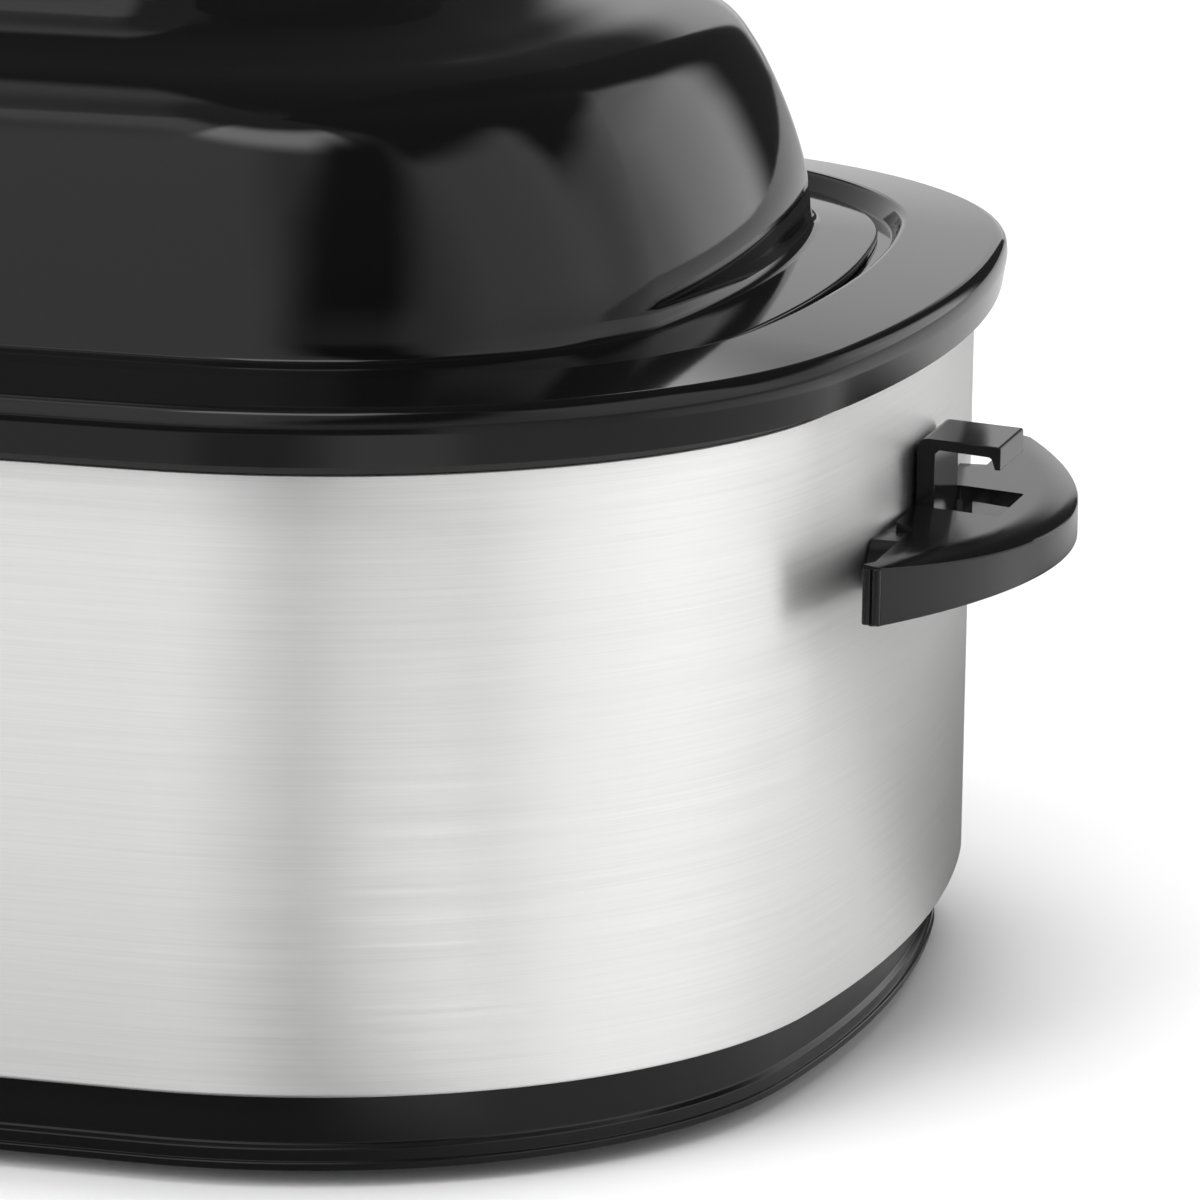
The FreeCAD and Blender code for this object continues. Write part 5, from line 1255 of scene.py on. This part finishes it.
# Patches of painted shade (low tones) and painted light (high tones) in the floor's colour, seen
# only in reflections.
PAINTED_GLOSS_PATCHES = (
    # name, the two ways, tone, centre and half size one way, the same the other way, softness
    ("far_painted_shade", turn, away, 0.04, -36.0, 74.0, 145.0, 75.0, 6.0),
    ("bright_strip", turn, away, 1.0, 32.0, 10.0, 42.0, 24.0, 5.0),
    ("grey_strip", turn, away, 0.30, 7.0, 9.0, 42.0, 24.0, 5.0),
    ("right_strip", turn, away, 1.0, 108.0, 26.0, 135.0, 70.0, 8.0),
    ("back_painted_shade", turn, away, 0.06, 158.0, 22.0, 42.0, 28.0, 8.0),
    ("near_painted_shade", near_x, near_y, 0.10, -10.0, 32.0, -27.0, 10.0, 5.0),
)
shade = FLOOR_IN_GLOSS
for _, one_way, other_way, tone, *place in PAINTED_GLOSS_PATCHES:
    shade = blend(tree, window_mask(tree, one_way, other_way, place), shade, tone)
paths = tree.nodes.new("ShaderNodeLightPath")
# The camera sees the floor's real tone; reflections see the painted shade and painted light.
shade = blend(tree, paths.outputs["Is Glossy Ray"], FLOOR_TONE, shade)
tree.links.new(shade, shader.inputs["Base Color"])
floor.data.materials.append(finish)
print("floor with", len(PAINTED_GLOSS_PATCHES), "cards")

# %% [markdown]
# The surround is painted by direction, in degrees around from the front and up from level: an even
# pale studio, a dark ceiling, a dark card at the front right that leans, dark cards behind, and a
# few bright windows. Black gloss shows nothing but its surroundings, so these draw its form. The
# camera itself sees plain white.

# %% Surround
world = bpy.data.worlds.new("surround")
bpy.context.scene.world = world
world.use_nodes = True
tree = world.node_tree
tree.nodes.clear()
toward = tree.nodes.new("ShaderNodeTexCoord")
split = tree.nodes.new("ShaderNodeSeparateXYZ")
tree.links.new(toward.outputs["Generated"], split.inputs["Vector"])
back = maths(tree, "MULTIPLY", split.outputs["Y"], -1.0)
across = maths(tree, "MULTIPLY", maths(tree, "ARCTAN2", split.outputs["X"], back), TO_DEGREES)
up = maths(tree, "MULTIPLY", maths(tree, "ARCSINE", split.outputs["Z"]), TO_DEGREES)
LEAN = 0.45
leaning = maths(tree, "SUBTRACT", across, maths(tree, "MULTIPLY", up, LEAN))

SURROUND = 1.05
WINDOWS = (
    # name, way across, level, centre across, half across, centre up, half up, softness
    ("front_left_window", across, 1.75, -14.0, 22.0, 30.0, 32.0, 10.0),
    ("right_window", across, 1.75, 92.0, 28.0, 24.0, 26.0, 12.0),
    ("ceiling", across, 0.35, 0.0, 200.0, 92.0, 21.0, 4.0),
    ("right_ceiling", across, 0.06, 112.0, 46.0, 85.0, 37.0, 6.0),
    ("back_ceiling", across, 0.08, 160.0, 44.0, 62.0, 36.0, 6.0),
    ("high_box", across, 7.0, 12.0, 38.0, 67.0, 7.0, 5.0),
    ("left_box", across, 2.2, -45.0, 16.0, 66.0, 6.0, 4.0),
    ("front_right_card", leaning, 0.02, 24.0, 17.0, 36.0, 30.0, 9.0),
    ("back_left_card", across, 0.08, -160.0, 24.0, 54.0, 28.0, 6.0),
    ("behind_card_left", across, 0.08, -178.0, 9.0, 50.0, 34.0, 3.0),
    ("behind_card_right", across, 0.08, 176.0, 11.0, 50.0, 34.0, 3.0),
    ("back_window", across, 3.0, -162.0, 6.0, 23.0, 4.0, 3.0),
    ("back_box", across, 1.5, 158.0, 9.0, 5.0, 11.0, 4.0),
    ("back_edge", across, 0.05, 180.0, 14.0, 30.0, 50.0, 4.0),
)
level = SURROUND
for _, way, value, *place in WINDOWS:
    level = blend(tree, window_mask(tree, way, up, place), level, value)
seen = tree.nodes.new("ShaderNodeBackground")
seen.inputs["Color"].default_value = (1.0, 1.0, 1.0, 1.0)
light = tree.nodes.new("ShaderNodeBackground")
tree.links.new(level, light.inputs["Strength"])
paths = tree.nodes.new("ShaderNodeLightPath")
mix = tree.nodes.new("ShaderNodeMixShader")
tree.links.new(paths.outputs["Is Camera Ray"], mix.inputs[0])
tree.links.new(light.outputs[0], mix.inputs[1])
tree.links.new(seen.outputs[0], mix.inputs[2])
output = tree.nodes.new("ShaderNodeOutputWorld")
tree.links.new(mix.outputs[0], output.inputs["Surface"])
print("surround with", len(WINDOWS), "windows")

# %% [markdown]
# Two large soft boxes light the floor and the matt parts, one from the front left and one overhead,
# and give the soft shadow. Gloss doesn't show them: what it mirrors is the surround and the floor.

# %% Lights
def soft_box(name, place, aim, width, height, power):
    """A large area light at a place, turned to face a point."""
    data = bpy.data.lights.new(name, "AREA")
    data.shape = "RECTANGLE"
    data.size = width
    data.size_y = height
    data.energy = power
    lamp = bpy.data.objects.new(name, data)
    bpy.context.collection.objects.link(lamp)
    lamp.location = place
    lamp.rotation_euler = (Vector(aim) - Vector(place)).to_track_quat("-Z", "Y").to_euler()
    lamp.visible_glossy = False
    return lamp


BOX_POWER = 36.0
soft_box("front_left_box", (-1.3, -2.3, 1.2), (0.0, 0.0, 0.12), 1.6, 1.6, BOX_POWER)
soft_box("overhead_box", (0.2, 0.6, 2.6), (0.0, 0.0, 0.15), 2.4, 1.6, BOX_POWER)

# %% [markdown]
# ## The camera
#
# A long lens from the front right, a little above the oven. It is close in on the right-hand half.

# %% Camera
CAMERA_PLACE = (0.69086, -1.87343, 0.53510)
CAMERA_YAW = math.radians(15.1089)
CAMERA_PITCH = math.radians(12.4918)
CAMERA_ROLL = math.radians(0.8514)
CAMERA_LENS = 232.167
camera_data = bpy.data.cameras.new("camera")
camera_data.sensor_width = 36.0
camera_data.lens = CAMERA_LENS
camera_data.clip_start = 0.05
camera_data.clip_end = 100.0
camera = bpy.data.objects.new("camera", camera_data)
bpy.context.collection.objects.link(camera)
camera.matrix_world = (
    Matrix.Translation(CAMERA_PLACE)
    @ Matrix.Rotation(CAMERA_YAW, 4, "Z")
    @ Matrix.Rotation(math.pi / 2 - CAMERA_PITCH, 4, "X")
    @ Matrix.Rotation(CAMERA_ROLL, 4, "Z")
)
bpy.context.scene.camera = camera
bpy.context.scene.view_settings.view_transform = "Standard"
print("camera at", [round(value, 3) for value in camera.location])
